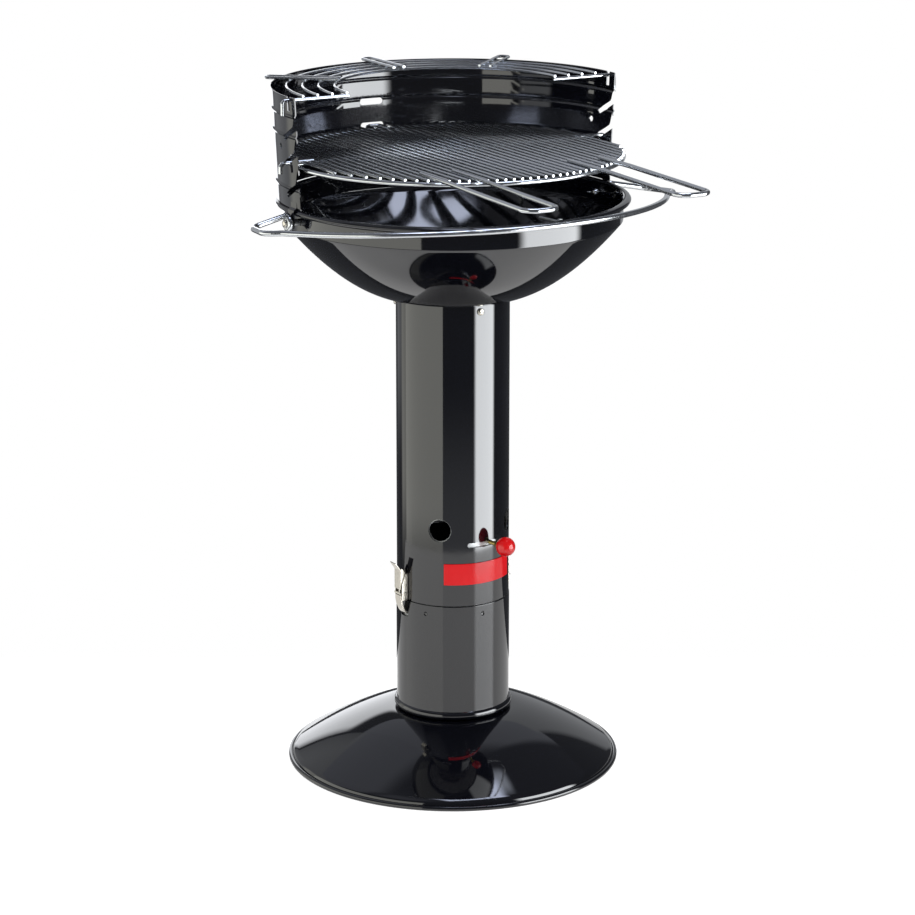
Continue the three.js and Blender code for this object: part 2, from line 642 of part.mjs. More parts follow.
function columnTube() {
  const body = tube(COLUMN_RADIUS, COLUMN_BORE, COLUMN_BOTTOM, COLUMN_TOP, ROUND_SIDES);
  const [near, far] = [COLUMN_BORE - OVERRUN, COLUMN_RADIUS + OVERRUN];
  const tools = [];
  for (const azimuth of airHoleAzimuths()) {
    const hole = rodAlongX(AIR_HOLE_RADIUS, near, far, 2 * SMALL_SIDES).translate(0, 0, AIR_HOLE_HEIGHT);
    tools.push(toAzimuth(hole, azimuth));
  }
  const [low, high] = [STEM_HEIGHT - SLOT_HALF_HEIGHT, STEM_HEIGHT + SLOT_HALF_HEIGHT];
  const slotEnds = SLOT_AZIMUTHS.map((azimuth) => azimuth + COLUMN_TURN);
  tools.push(sectorPlate(near, far, ...slotEnds, low, high, SMALL_SIDES / 2));
  for (const azimuth of slotEnds) {
    const end = rodAlongX(SLOT_HALF_HEIGHT, near, far, SMALL_SIDES).translate(0, 0, STEM_HEIGHT);
    tools.push(toAzimuth(end, azimuth));
  }
  for (const azimuth of bowlScrewAzimuths()) {
    const hole = rodAlongX(BOWL_SCREW_RADIUS + HOLE_MARGIN, near, far, SMALL_SIDES);
    tools.push(toAzimuth(hole.translate(0, 0, COLUMN_TOP - BOWL_SCREW_DROP), azimuth));
  }
  for (const azimuth of latchAzimuths()) {
    for (const height of rivetHeights()) {
      const hole = rodAlongX(RIVET_RADIUS + HOLE_MARGIN, near, far, SMALL_SIDES).translate(0, 0, height);
      tools.push(toAzimuth(hole, azimuth));
    }
  }
  return cut(body, tools);
}

function airHoleAzimuths() {
  const first = AIR_HOLE_AZIMUTH + COLUMN_TURN;
  return Array.from({ length: AIR_HOLE_COUNT }, (_, i) => first + (360 * i) / AIR_HOLE_COUNT);
}

function latchAzimuths() {
  return [COLUMN_TURN - 90, COLUMN_TURN + 90];
}

function bowlScrewAzimuths() {
  return Array.from({ length: BOWL_SCREW_COUNT }, (_, i) => (360 * i) / BOWL_SCREW_COUNT);
}

function rivetHeights() {
  return [PIVOT_HEIGHT + RIVET_LOW, PIVOT_HEIGHT + RIVET_LOW + RIVET_PITCH];
}

function collar() {
  const [low, high] = [POT_TOP - COLLAR_REACH_DOWN, SLEEVE_BOTTOM - COLLAR_CLEARANCE];
  return tube(LINER_RADIUS, LINER_RADIUS - COLLAR_SHEET, low, high, ROUND_SIDES);
}

// Air damper

function damperSleeve() {
  const [low, high] = [SLEEVE_BOTTOM, AIR_HOLE_HEIGHT + AIR_HOLE_RADIUS + SLEEVE_ABOVE];
  const inner = LINER_RADIUS - SLEEVE_SHEET;
  const [near, far] = [inner - OVERRUN, LINER_RADIUS + OVERRUN];
  const tools = airHoleAzimuths().map((azimuth) => {
    const hole = rodAlongX(AIR_HOLE_RADIUS - SLEEVE_HOLE_MARGIN, near, far, 2 * SMALL_SIDES);
    return toAzimuth(hole.translate(0, 0, AIR_HOLE_HEIGHT), azimuth);
  });
  const stemHole = rodAlongX(STEM_RADIUS + STEM_HOLE_MARGIN, near, far, SMALL_SIDES);
  tools.push(toAzimuth(stemHole.translate(0, 0, STEM_HEIGHT), STEM_AZIMUTH + COLUMN_TURN));
  return cut(tube(LINER_RADIUS, inner, low, high, ROUND_SIDES), tools);
}

function damperControls() {
  const inner = flatOf(LINER_RADIUS - SLEEVE_SHEET) - GAP;
  const knobFace = KNOB_REACH - KNOB_RADIUS;
  const stemEnd = knobFace + KNOB_BORE;
  const stem = rodAlongX(STEM_RADIUS, inner - STEM_NUT - STEM_INNER_SPARE, stemEnd, SMALL_SIDES);
  const bore = rodAlongX(STEM_RADIUS + STEM_HOLE_MARGIN, knobFace - OVERRUN, stemEnd + GAP, SMALL_SIDES);
  const ball = new THREE.SphereGeometry(KNOB_RADIUS, 2 * SMALL_SIDES, SMALL_SIDES - 2);
  const knob = cut(ball.rotateX(Math.PI / 2).translate(KNOB_REACH, 0, 0), [bore]);
  const nutBore = STEM_RADIUS + STEM_HOLE_MARGIN;
  const innerNut = nutAlongX(STEM_NUT_RADIUS, nutBore, inner - STEM_NUT, inner);
  const outerNut = nutAlongX(STEM_NUT_RADIUS, nutBore, knobFace - STEM_NUT, knobFace);
  const pieces = [
    piece('damper_stem', stem, zinc()),
    piece('damper_knob', knob, redPlastic()),
    piece('damper_nut_inner', innerNut, zinc()),
    piece('damper_nut_outer', outerNut, zinc()),
  ];
  for (const mesh of pieces) mesh.position.z = STEM_HEIGHT;
  addAtAzimuth(STEM_AZIMUTH + COLUMN_TURN, pieces);
}

// Badge

function badge() {
  const inner = COLUMN_RADIUS + GAP;
  const top = BADGE_BOTTOM + BADGE_HEIGHT;
  const [from, to] = [COLUMN_TURN - BADGE_AZIMUTH, COLUMN_TURN + BADGE_AZIMUTH];
  return sectorPlate(inner, inner + BADGE_SHEET, from, to, BADGE_BOTTOM, top, BADGE_STEPS);
}

// Latches, drawn on the +X side with the pivots along Y

function latchBase() {
  const face = COLUMN_RADIUS + GAP;
  const [low, high] = [COLUMN_BOTTOM + LATCH_BOTTOM, COLUMN_BOTTOM + LATCH_BOTTOM + LATCH_HEIGHT];
  const plate = block(face, face + LATCH_PLATE, -LATCH_HALF_WIDTH, LATCH_HALF_WIDTH, low, high);
  const outer = COLUMN_RADIUS + CHEEK_REACH;
  const slopeTop = low + CHEEK_HEIGHT + CHEEK_SLOPE;
  const outline = [
    [face, low], [outer, low], [outer, low + CHEEK_HEIGHT],
    [face + 2 * LATCH_PLATE, slopeTop], [face, slopeTop],
  ];
  const right = sidePlate(outline, LATCH_HALF_WIDTH - CHEEK, LATCH_HALF_WIDTH);
  const left = sidePlate(outline, -LATCH_HALF_WIDTH, CHEEK - LATCH_HALF_WIDTH);
  const pivotHalf = LATCH_HALF_WIDTH + OVERRUN;
  const pivot = rodAlongY(PIN_RADIUS + HOLE_MARGIN, -pivotHalf, pivotHalf, SMALL_SIDES);
  const tools = [pivot.translate(COLUMN_RADIUS + PIVOT_REACH, 0, PIVOT_HEIGHT)];
  for (const height of rivetHeights()) {
    const hole = rodAlongX(RIVET_RADIUS + HOLE_MARGIN, face - OVERRUN, face + OVERRUN, SMALL_SIDES);
    tools.push(hole.translate(0, 0, height));
  }
  return cut(joined([plate, right, left]), tools);
}

function latchLever() {
  const pivotX = COLUMN_RADIUS + PIVOT_REACH;
  const clawX = pivotX + LEVER_ARM;
  const z = PIVOT_HEIGHT;
  const plateX = COLUMN_RADIUS + CHEEK_REACH + LEVER_SHEET / 2;
  const outerX = plateX + LEVER_SHEET;
  const eye = rodAlongY(LEVER_EYE, -LEVER_HALF_WIDTH, LEVER_HALF_WIDTH, SMALL_SIDES).translate(pivotX, 0, z);
  const clawEye = rodAlongY(LEVER_EYE, -LEVER_HALF_WIDTH, LEVER_HALF_WIDTH, SMALL_SIDES)
    .translate(clawX, 0, z);
  const arm = sidePlate([
    [pivotX, z - LEVER_EYE / 2], [clawX, z - LEVER_EYE / 2], [clawX, z + LEVER_EYE],
    [outerX, z + 2 * LEVER_PLATE_START], [plateX, z + 2 * LEVER_PLATE_START], [pivotX, z + LEVER_EYE],
  ], -LEVER_HALF_WIDTH, LEVER_HALF_WIDTH);
  const top = z + LEVER_PLATE_TOP;
  const face = [[outerX, z + LEVER_PLATE_START], [outerX, top], [outerX + LEVER_TAB, top + LEVER_TAB_RISE]];
  const plate = sidePlate(strip(face, LEVER_SHEET), -LEVER_PLATE_HALF_WIDTH, LEVER_PLATE_HALF_WIDTH);
  const flange = [
    [pivotX, z + LEVER_FLANGE_START], [plateX + LEVER_SHEET / 2, z + LEVER_FLANGE_START],
    [plateX + LEVER_SHEET / 2, z + LEVER_FLANGE_TOP], [pivotX, z + LEVER_FLANGE_TOP],
  ];
  const flanges = [-LEVER_PLATE_HALF_WIDTH, LEVER_PLATE_HALF_WIDTH - LEVER_FLANGE].map((from) => (
    sidePlate(flange, from, from + LEVER_FLANGE)
  ));
  const long = LEVER_HALF_WIDTH + OVERRUN;
  const tools = [pivotX, clawX].map((x) => (
    rodAlongY(PIN_RADIUS + HOLE_MARGIN, -long, long, SMALL_SIDES).translate(x, 0, z)
  ));
  return cut(joined([eye, clawEye, arm, plate, ...flanges]), tools);
}

function latchClaw() {
  const clawX = COLUMN_RADIUS + PIVOT_REACH + LEVER_ARM;
  const outer = clawX + LEVER_EYE;
  const eyeZ = PIVOT_HEIGHT;
  const face = CLAW_FACE.map(([outside, drop]) => [clawX + outside, PIVOT_HEIGHT - drop]);
  const line = [[POT_RADIUS - CLAW_ENGAGE, CLAW_TIP_HEIGHT], ...face, [clawX + CLAW_SHEET / 2, eyeZ]];
  const strap = sidePlate(strip(line, CLAW_SHEET), -CLAW_HALF_WIDTH, CLAW_HALF_WIDTH);
  const eye = rodAlongY(LEVER_EYE, -CLAW_HALF_WIDTH, CLAW_HALF_WIDTH, SMALL_SIDES).translate(clawX, 0, eyeZ);
  const room = LEVER_HALF_WIDTH + GAP;
  const reach = LEVER_EYE + 2 * GAP;
  const fork = block(clawX - OVERRUN, outer + OVERRUN, -room, room, eyeZ - reach, eyeZ + OVERRUN);
  const long = CLAW_HALF_WIDTH + OVERRUN;
  const pinHole = rodAlongY(PIN_RADIUS + HOLE_MARGIN, -long, long, SMALL_SIDES).translate(clawX, 0, eyeZ);
  return cut(joined([strap, eye]), [fork, pinHole]);
}

function pinAlongY(halfGrip) {
  const end = halfGrip + GAP;
  const profile = [
    [0, -end - PIN_HEAD], [PIN_HEAD_RADIUS, -end - PIN_HEAD], [PIN_HEAD_RADIUS, -end], [PIN_RADIUS, -end],
    [PIN_RADIUS, end], [PIN_HEAD_RADIUS, end], [PIN_HEAD_RADIUS, end + PIN_HEAD], [0, end + PIN_HEAD],
  ];
  return turnedAlongX(profile, SMALL_SIDES).rotateZ(Math.PI / 2);
}

function rivet() {
  const face = COLUMN_RADIUS + GAP + LATCH_PLATE + GAP;
  return turnedAlongX([
    [0, COLUMN_BORE + GAP / 2], [RIVET_RADIUS, COLUMN_BORE + GAP / 2], [RIVET_RADIUS, face],
    [RIVET_HEAD_RADIUS, face], [RIVET_HEAD_RADIUS, face + RIVET_HEAD / 2],
    [RIVET_RADIUS, face + RIVET_HEAD], [0, face + RIVET_HEAD],
  ], SMALL_SIDES);
}

function latch(side, azimuth) {
  const pivotX = COLUMN_RADIUS + PIVOT_REACH;
  const leverPin = piece(`latch_${side}_lever_pin`, pinAlongY(LATCH_HALF_WIDTH), steel());
  leverPin.position.set(pivotX, 0, PIVOT_HEIGHT);
  const flushPin = rodAlongY(PIN_RADIUS, -CLAW_HALF_WIDTH, CLAW_HALF_WIDTH, SMALL_SIDES);
  const clawPin = piece(`latch_${side}_claw_pin`, flushPin, steel());
  clawPin.position.set(pivotX + LEVER_ARM, 0, PIVOT_HEIGHT);
  const rivets = rivetHeights().map((height, i) => {
    const mesh = piece(`latch_${side}_rivet_${i + 1}`, rivet(), steel());
    mesh.position.z = height;
    return mesh;
  });
  addAtAzimuth(azimuth, [
    piece(`latch_${side}_base`, latchBase(), steel()),
    piece(`latch_${side}_lever`, latchLever(), steel()),
    piece(`latch_${side}_claw`, latchClaw(), steel()),
    leverPin, clawPin, ...rivets,
  ]);
}

// Bowl

function dishHeight(radius) {
  const share = (radius - NECK_RADIUS) / (BOWL_RADIUS - NECK_RADIUS);
  return BOWL_BOTTOM + (BOWL_BAND_BOTTOM - BOWL_BOTTOM) * Math.max(share, 0) ** BOWL_CURVE_SHARE;
}

function bowl() {
  const neckBottom = BOWL_BOTTOM - NECK_DEPTH;
  const outside = [[NECK_BORE, neckBottom], [NECK_RADIUS, neckBottom]];
  const inside = [];
  for (let i = 0; i <= BOWL_STEPS; i += 1) {
    const share = i / BOWL_STEPS;
    const radius = NECK_RADIUS + (BOWL_RADIUS - NECK_RADIUS) * share;
    outside.push([radius, dishHeight(radius)]);
    const rise = i === 0 ? SHEET : SHEET * (DISH_SLANT_SHARE - share / 4);
    inside.push([radius - SHEET, dishHeight(radius) + rise]);
  }
  outside.push([BOWL_RADIUS, BOWL_BAND_TOP]);
  for (const angle of [-90, -30, 30, 90, 150]) {
    outside.push([
      BEAD_CENTRE + BOWL_BEAD * Math.cos(rad(angle)),
      BOWL_BEAD_HEIGHT + BOWL_BEAD * Math.sin(rad(angle)),
    ]);
  }
  outside.push([BOWL_RADIUS - SHEET, BOWL_BEAD_HEIGHT + BOWL_BEAD / 2]);
  const tools = bowlScrewAzimuths().map((azimuth) => {
    const bore = BOWL_SCREW_RADIUS + HOLE_MARGIN;
    const hole = rodAlongX(bore, NECK_BORE - OVERRUN, NECK_RADIUS + OVERRUN, SMALL_SIDES);
    return toAzimuth(hole.translate(0, 0, COLUMN_TOP - BOWL_SCREW_DROP), azimuth);
  });
  for (const azimuth of TAB_AZIMUTHS) {
    const bore = TAB_BOLT_RADIUS + HOLE_MARGIN;
    const hole = rodAlongX(bore, BOWL_RADIUS - OVERRUN, BOWL_RADIUS + OVERRUN, SMALL_SIDES);
    tools.push(toAzimuth(hole.translate(0, 0, TAB_BOLT_HEIGHT), azimuth));
  }
  const clipBore = CLIP_RADIUS + HOLE_MARGIN;
  const clipHole = rodAlongX(clipBore, BOWL_RADIUS - OVERRUN, BEAD_CENTRE + GAP, SMALL_SIDES);
  tools.push(toAzimuth(clipHole.translate(0, 0, BOWL_BEAD_HEIGHT), CLIP_AZIMUTH));
  return cut(turned([...outside, ...inside.reverse()], ROUND_SIDES), tools);
}

function bowlScrews() {
  const headFace = COLUMN_RADIUS + GAP;
  const nutFace = flatOf(NECK_BORE) - GAP;
  const end = nutFace - BOWL_NUT - BOWL_SCREW_SPARE;
  const screw = [
    [0, end], [BOWL_SCREW_RADIUS, end], [BOWL_SCREW_RADIUS, headFace], [BOWL_SCREW_HEAD_RADIUS, headFace],
    [BOWL_SCREW_HEAD_RADIUS, headFace + BOWL_SCREW_HEAD / 2],
    [BOWL_SCREW_HEAD_RADIUS / 2, headFace + BOWL_SCREW_HEAD], [0, headFace + BOWL_SCREW_HEAD],
  ];
  const nut = nutAlongX(BOWL_NUT_RADIUS, BOWL_SCREW_RADIUS + HOLE_MARGIN, nutFace - BOWL_NUT, nutFace);
  bowlScrewAzimuths().forEach((azimuth, i) => {
    const pieces = [
      piece(`bowl_screw_${i + 1}`, turnedAlongX(screw, SMALL_SIDES), steel()),
      piece(`bowl_nut_${i + 1}`, nut, steel()),
    ];
    for (const mesh of pieces) mesh.position.z = COLUMN_TOP - BOWL_SCREW_DROP;
    addAtAzimuth(azimuth, pieces);
  });
}

// Fire grate

function fireGrate() {
  const height = dishHeight(FIRE_RING_RADIUS) + SHEET * DISH_SLANT_SHARE + FIRE_WIRE + FIRE_SEAT;
  const ring = new THREE.TorusGeometry(FIRE_RING_RADIUS, FIRE_WIRE, WIRE_SIDES, ROUND_SIDES);
  const parts = [ring.translate(0, 0, height)];
  const pitch = (2 * (FIRE_RING_RADIUS - FIRE_BAR_MARGIN)) / (FIRE_BAR_COUNT - 1);
  for (let i = 0; i < FIRE_BAR_COUNT; i += 1) {
    const x = (i - (FIRE_BAR_COUNT - 1) / 2) * pitch;
    const half = Math.sqrt(FIRE_RING_RADIUS ** 2 - x ** 2);
    parts.push(rodAlongY(FIRE_WIRE, -half, half, WIRE_SIDES).translate(x, 0, height));
  }
  return joined(parts);
}

// Windshield

function shieldRadius(height) {
  const share = (height - SHIELD_BOTTOM) / (SHIELD_TOP - SHIELD_BOTTOM);
  return SHIELD_BOTTOM_RADIUS + (SHIELD_TOP_RADIUS - SHIELD_BOTTOM_RADIUS) * share;
}

function shieldWall() {
  const heights = [[SHIELD_BOTTOM, 0]];
  for (const rib of [RIB_LOW_HEIGHT, RIB_MIDDLE_HEIGHT, RIB_HIGH_HEIGHT]) {
    heights.push([rib - SHIELD_RIB_HALF_WIDTH, 0], [rib, SHIELD_RIB], [rib + SHIELD_RIB_HALF_WIDTH, 0]);
  }
  heights.push([SHIELD_TOP, 0]);
  const outside = heights.map(([height, rise]) => [shieldRadius(height) + rise, height]);
  const inside = heights.map(([height, rise]) => [shieldRadius(height) + rise - SHIELD_SHEET, height]);
  return turned([...outside, ...inside.reverse()], ROUND_SIDES);
}

// A slanted slot as a prism along X, round at its inner end and open at the front edge
function slantedSlot(level, x0, x1) {
  const [cos, sin] = [Math.cos(rad(SLANT_ANGLE)), Math.sin(rad(SLANT_ANGLE))];
  const along = (run, across) => [SLANT_END - run * cos + across * sin, level + run * sin + across * cos];
  const outline = [];
  for (let angle = 0; angle <= 180; angle += 30) {
    outline.push(along(-SLANT_SLOT * Math.sin(rad(angle)), SLANT_SLOT * Math.cos(rad(angle))));
  }
  const mouth = (SLANT_END + SHIELD_FRONT) / cos;
  outline.push(along(mouth + OVERRUN, -SLANT_SLOT));
  outline.push(along(mouth + OVERRUN, SLANT_SLOT + SLANT_MOUTH + OVERRUN));
  outline.push(along(mouth - SLANT_MOUTH, SLANT_SLOT));
  const shape = new THREE.Shape(outline.map(([y, z]) => new THREE.Vector2(y, z)));
  const prism = new THREE.ExtrudeGeometry(shape, { depth: x1 - x0, bevelEnabled: false, steps: 1 });
  return prism.rotateX(Math.PI / 2).rotateZ(Math.PI / 2).translate(x0, 0, 0);
}

function rearSlot(level) {
  const [near, far] = [shieldRadius(level) - OVERRUN - SHIELD_SHEET, shieldRadius(level) + OVERRUN];
  const flat = REAR_SLOT_HALF_WIDTH - REAR_SLOT_HALF_HEIGHT;
  const middle = block(-flat, flat, near, far, level - REAR_SLOT_HALF_HEIGHT, level + REAR_SLOT_HALF_HEIGHT);
  const ends = [-flat, flat].map((x) => (
    rodAlongY(REAR_SLOT_HALF_HEIGHT, near, far, SMALL_SIDES).translate(x, 0, level)
  ));
  return joined([middle, ...ends]);
}

function shieldTab() {
  const bottom = SHIELD_BOTTOM;
  const root = bottom + TAB_ROOT;
  const [wallOut, wallIn] = [shieldRadius(root), shieldRadius(root) - SHIELD_SHEET];
  return sidePlate([
    [wallIn, bottom], [wallIn, root], [wallOut, root], [TAB_OUTER, bottom + SHIELD_SHEET],
    [TAB_OUTER, TAB_BOTTOM], [TAB_INNER, TAB_BOTTOM], [TAB_INNER, bottom],
  ], -TAB_HALF_WIDTH, TAB_HALF_WIDTH);
}

function windshield() {
  const wide = SHIELD_TOP_RADIUS + 2 * OVERRUN;
  const front = block(-wide, wide, -wide, -SHIELD_FRONT, TAB_BOTTOM, SHIELD_TOP + OVERRUN);
  let body = cut(shieldWall(), [front]);
  body = joined([body, ...TAB_AZIMUTHS.map((azimuth) => toAzimuth(shieldTab(), azimuth))]);
  const tools = SLOT_HEIGHTS.map((level) => slantedSlot(level, -wide, wide));
  tools.push(...SLOT_HEIGHTS.map(rearSlot));
  const keyhole = rodAlongX(KEYHOLE_RADIUS, -wide, wide, SMALL_SIDES);
  tools.push(keyhole.translate(0, KEYHOLE_BEHIND, KEYHOLE_HEIGHT));
  const notchBottom = SHIELD_TOP - NOTCH_DEPTH;
  tools.push(block(-wide, wide, -NOTCH_HALF_WIDTH, NOTCH_HALF_WIDTH, notchBottom, SHIELD_TOP + OVERRUN));
  for (const azimuth of TAB_AZIMUTHS) {
    const bore = TAB_BOLT_RADIUS + HOLE_MARGIN;
    const hole = rodAlongX(bore, TAB_INNER - OVERRUN, TAB_OUTER + OVERRUN, SMALL_SIDES);
    tools.push(toAzimuth(hole.translate(0, 0, TAB_BOLT_HEIGHT), azimuth));
  }
  return cut(body, tools);
}

function wingNut(face) {
  const bore = TAB_BOLT_RADIUS + HOLE_MARGIN;
  const hub = rodAlongX(WING_HUB_RADIUS, face - WING_HUB, face, SMALL_SIDES);
  const half = WING_SHEET / 2;
  const wings = [-1, 1].map((side) => {
    const outline = [
      [face - WING_SHEET, side * bore], [face - WING_HUB, side * bore],
      [face - WING_HUB - WING_RISE / 2, side * WING_SPAN],
      [face - WING_SHEET - WING_RISE / 3, side * WING_SPAN],
    ];
    return sidePlate(outline, -half, half);
  });
  const hole = rodAlongX(bore, face - OVERRUN - WING_HUB, face + OVERRUN, SMALL_SIDES);
  return cut(joined([hub, ...wings]), [hole]).rotateX(Math.PI / 2);
}

function shieldFasteners() {
  const wallIn = flatOf(BOWL_RADIUS - SHEET) - GAP;
  const spacerOut = TAB_INNER - GAP;
  TAB_AZIMUTHS.forEach((azimuth, i) => {
    const eye = azimuth === 180 ? 0 : 2 * RAIL_WIRE + GAP;
    const headFace = TAB_OUTER + GAP + eye;
    const end = wallIn - WING_HUB - TAB_BOLT_SPARE;
    const bolt = [
      [0, end], [TAB_BOLT_RADIUS, end], [TAB_BOLT_RADIUS, headFace], [TAB_BOLT_HEAD_RADIUS, headFace],
      [TAB_BOLT_HEAD_RADIUS, headFace + TAB_BOLT_HEAD / 2],
      [TAB_BOLT_HEAD_RADIUS / 2, headFace + TAB_BOLT_HEAD], [0, headFace + TAB_BOLT_HEAD],
    ];
    const spacer = cut(
      rodAlongX(SPACER_RADIUS, BOWL_RADIUS + GAP, spacerOut, SMALL_SIDES),
      [rodAlongX(TAB_BOLT_RADIUS + HOLE_MARGIN, BOWL_RADIUS - OVERRUN, spacerOut + OVERRUN, SMALL_SIDES)],
    );
    const pieces = [
      piece(`shield_bolt_${i + 1}`, turnedAlongX(bolt, SMALL_SIDES), steel()),
      piece(`shield_spacer_${i + 1}`, spacer, steel()),
      piece(`wing_nut_${i + 1}`, wingNut(wallIn), chrome()),
    ];
    for (const mesh of pieces) mesh.position.z = TAB_BOLT_HEIGHT;
    addAtAzimuth(azimuth, pieces);
  });
}

// Tool rail

// The rail lies in one plane, tipped up from its bolts to its front
function railHeight(y) {
  return TAB_BOLT_HEIGHT - ((RAIL_FRONT_HEIGHT - TAB_BOLT_HEIGHT) * y) / RAIL_FRONT_REACH;
}

function toolRail() {
  const eyeX = TAB_OUTER + GAP + RAIL_WIRE;
  const eyeTop = TAB_BOLT_HEIGHT + RAIL_EYE_RADIUS;
  const centreY = RAIL_ARC_RADIUS - RAIL_FRONT_REACH;
  const front = arcRoute(RAIL_ARC_RADIUS, -RAIL_ARC_SWEEP, RAIL_ARC_SWEEP, 0, centreY);
  for (const place of front) place.z = railHeight(place.y);
  const ear = (side) => [
    [side * eyeX, 0, eyeTop - RAIL_WIRE / 2],
    [side * eyeX, 0, eyeTop + RAIL_HUMP],
    [side * (BOWL_BEAD_RADIUS + RAIL_RETURN_REACH), -RAIL_RETURN_FRONT, railHeight(-RAIL_RETURN_FRONT)],
    [side * (BOWL_BEAD_RADIUS + RAIL_EAR_REACH), -RAIL_EAR_FRONT, railHeight(-RAIL_EAR_FRONT)],
    front[side < 0 ? 0 : front.length - 1].toArray(),
    front[side < 0 ? 1 : front.length - 2].toArray(),
  ];
  const left = roundedRoute(ear(-1), RAIL_BEND);
  const right = roundedRoute(ear(1), RAIL_BEND).reverse();
  const body = wire([...left, ...front.slice(2, -2), ...right], RAIL_WIRE);
  const eyes = [-1, 1].map((side) => {
    const eye = new THREE.TorusGeometry(RAIL_EYE_RADIUS, RAIL_WIRE, WIRE_SIDES, RAIL_EYE_SIDES);
    return eye.rotateY(Math.PI / 2).translate(side * eyeX, 0, TAB_BOLT_HEIGHT);
  });
  return joined([body, ...eyes]);
}

function railClip() {
  const inner = BOWL_RADIUS - SHEET;
  const nutFace = flatOf(inner) - GAP;
  const rod = rodAlongX(CLIP_RADIUS, inner - CLIP_INNER, BEAD_CENTRE, SMALL_SIDES);
  const nut = nutAlongX(CLIP_NUT_RADIUS, CLIP_RADIUS + HOLE_MARGIN, nutFace - CLIP_NUT, nutFace);
  const pieces = [piece('rail_clip', rod, chrome()), piece('rail_clip_nut', nut, steel())];
  for (const mesh of pieces) mesh.position.z = BOWL_BEAD_HEIGHT;
  addAtAzimuth(CLIP_AZIMUTH, pieces);
}

// Cooking grid

function cookingGrid() {
  const ring = new THREE.TorusGeometry(GRID_RADIUS, GRID_WIRE, WIRE_SIDES, ROUND_SIDES);
  const parts = [ring.translate(0, 0, RING_HEIGHT)];
  for (let i = 0; i < GRID_BAR_COUNT; i += 1) {
    const x = (i - (GRID_BAR_COUNT - 1) / 2) * GRID_BAR_PITCH;
    const half = Math.sqrt(GRID_RADIUS ** 2 - x ** 2);
    parts.push(rodAlongY(GRID_BAR, -half, half, WIRE_SIDES - 2).translate(x, 0, GRID_BAR_HEIGHT));
  }
  const crossHalf = Math.sqrt(GRID_RADIUS ** 2 - GRID_CROSS_BEHIND ** 2);
  const cross = rodAlongX(GRID_WIRE, -crossHalf, crossHalf, WIRE_SIDES);
  parts.push(cross.translate(0, GRID_CROSS_BEHIND, RING_HEIGHT));
  const wallX = Math.sqrt(shieldRadius(HOOK_HEIGHT) ** 2 - SLANT_END ** 2);
  for (const side of [-1, 1]) {
    const outer = wallX + HOOK_OUTER;
    parts.push(wire(roundedRoute([
      [side * (GRID_RADIUS - HOOK_INNER), SLANT_END, HOOK_HEIGHT],
      [side * outer, SLANT_END, HOOK_HEIGHT],
      [side * outer, SLANT_END, HOOK_HEIGHT - HOOK_DROP],
    ], HOOK_BEND), HOOK_WIRE));
  }
  const tongueY = shieldRadius(HOOK_HEIGHT) - SHIELD_SHEET + TONGUE_ENGAGE - HOOK_WIRE;
  parts.push(wire(roundedRoute([
    [-TONGUE_HALF_WIDTH, GRID_RADIUS - TONGUE_INNER, HOOK_HEIGHT],
    [-TONGUE_HALF_WIDTH, tongueY, HOOK_HEIGHT],
    [TONGUE_HALF_WIDTH, tongueY, HOOK_HEIGHT],
    [TONGUE_HALF_WIDTH, GRID_RADIUS - TONGUE_INNER, HOOK_HEIGHT],
  ], HOOK_BEND), HOOK_WIRE));
  return joined(parts);
}

function gridHandle(side) {
  const [x0, x1] = [HANDLE_INNER_SHARE, HANDLE_OUTER_SHARE].map((share) => side * share * GRID_BAR_PITCH);
  const start = GRID_RADIUS - HANDLE_LAP;
  const knee = GRID_RADIUS + HANDLE_KNEE_REACH;
  const tip = GRID_RADIUS + HANDLE_REACH;
  return wire(roundedRoute([
    [x0, -start, HANDLE_HEIGHT],
    [x0, -knee, HANDLE_HEIGHT],
    [x0, -tip, HANDLE_HEIGHT - HANDLE_DROP],
    [x1, -tip, HANDLE_HEIGHT - HANDLE_DROP],
    [x1, -knee, HANDLE_HEIGHT],
    [x1, -start, HANDLE_HEIGHT],
  ], HANDLE_BEND), HANDLE_WIRE, WIRE_SIDES + 2);
}

// Warming rack

function warmingRack() {
  const parts = [];
  for (let i = 0; i < RACK_ARC_COUNT; i += 1) {
    const radius = RACK_ARC_RADIUS + i * RACK_ARC_PITCH;
    parts.push(wire(arcRoute(radius, 90, 270, RACK_ARC_HEIGHT), RACK_ARC_WIRE));
  }
  const outer = SHIELD_TOP_RADIUS + RACK_BAR_OUTER;
  for (const side of [-1, 1]) {
    parts.push(wire(roundedRoute([
      [side * RACK_INNER, 0, RACK_BAR_HEIGHT],
      [side * outer, 0, RACK_BAR_HEIGHT],
      [side * outer, 0, RACK_BAR_HEIGHT - RACK_BAR_DROP],
    ], RACK_BAR_BEND), RACK_BAR_WIRE));
  }
  for (const azimuth of RACK_LOOP_AZIMUTHS) {
    const loop = wire(roundedRoute([
      [RACK_INNER, -RACK_LOOP_HALF_WIDTH, RACK_LOOP_HEIGHT],
      [RACK_LOOP_OUTER, -RACK_LOOP_HALF_WIDTH, RACK_LOOP_HEIGHT],
      [RACK_LOOP_OUTER, RACK_LOOP_HALF_WIDTH, RACK_LOOP_HEIGHT],
      [RACK_INNER, RACK_LOOP_HALF_WIDTH, RACK_LOOP_HEIGHT],
    ], RACK_LOOP_BEND), RACK_LOOP_WIRE);
    parts.push(toAzimuth(loop, azimuth));
  }
  return joined(parts);
}

// The whole barbecue

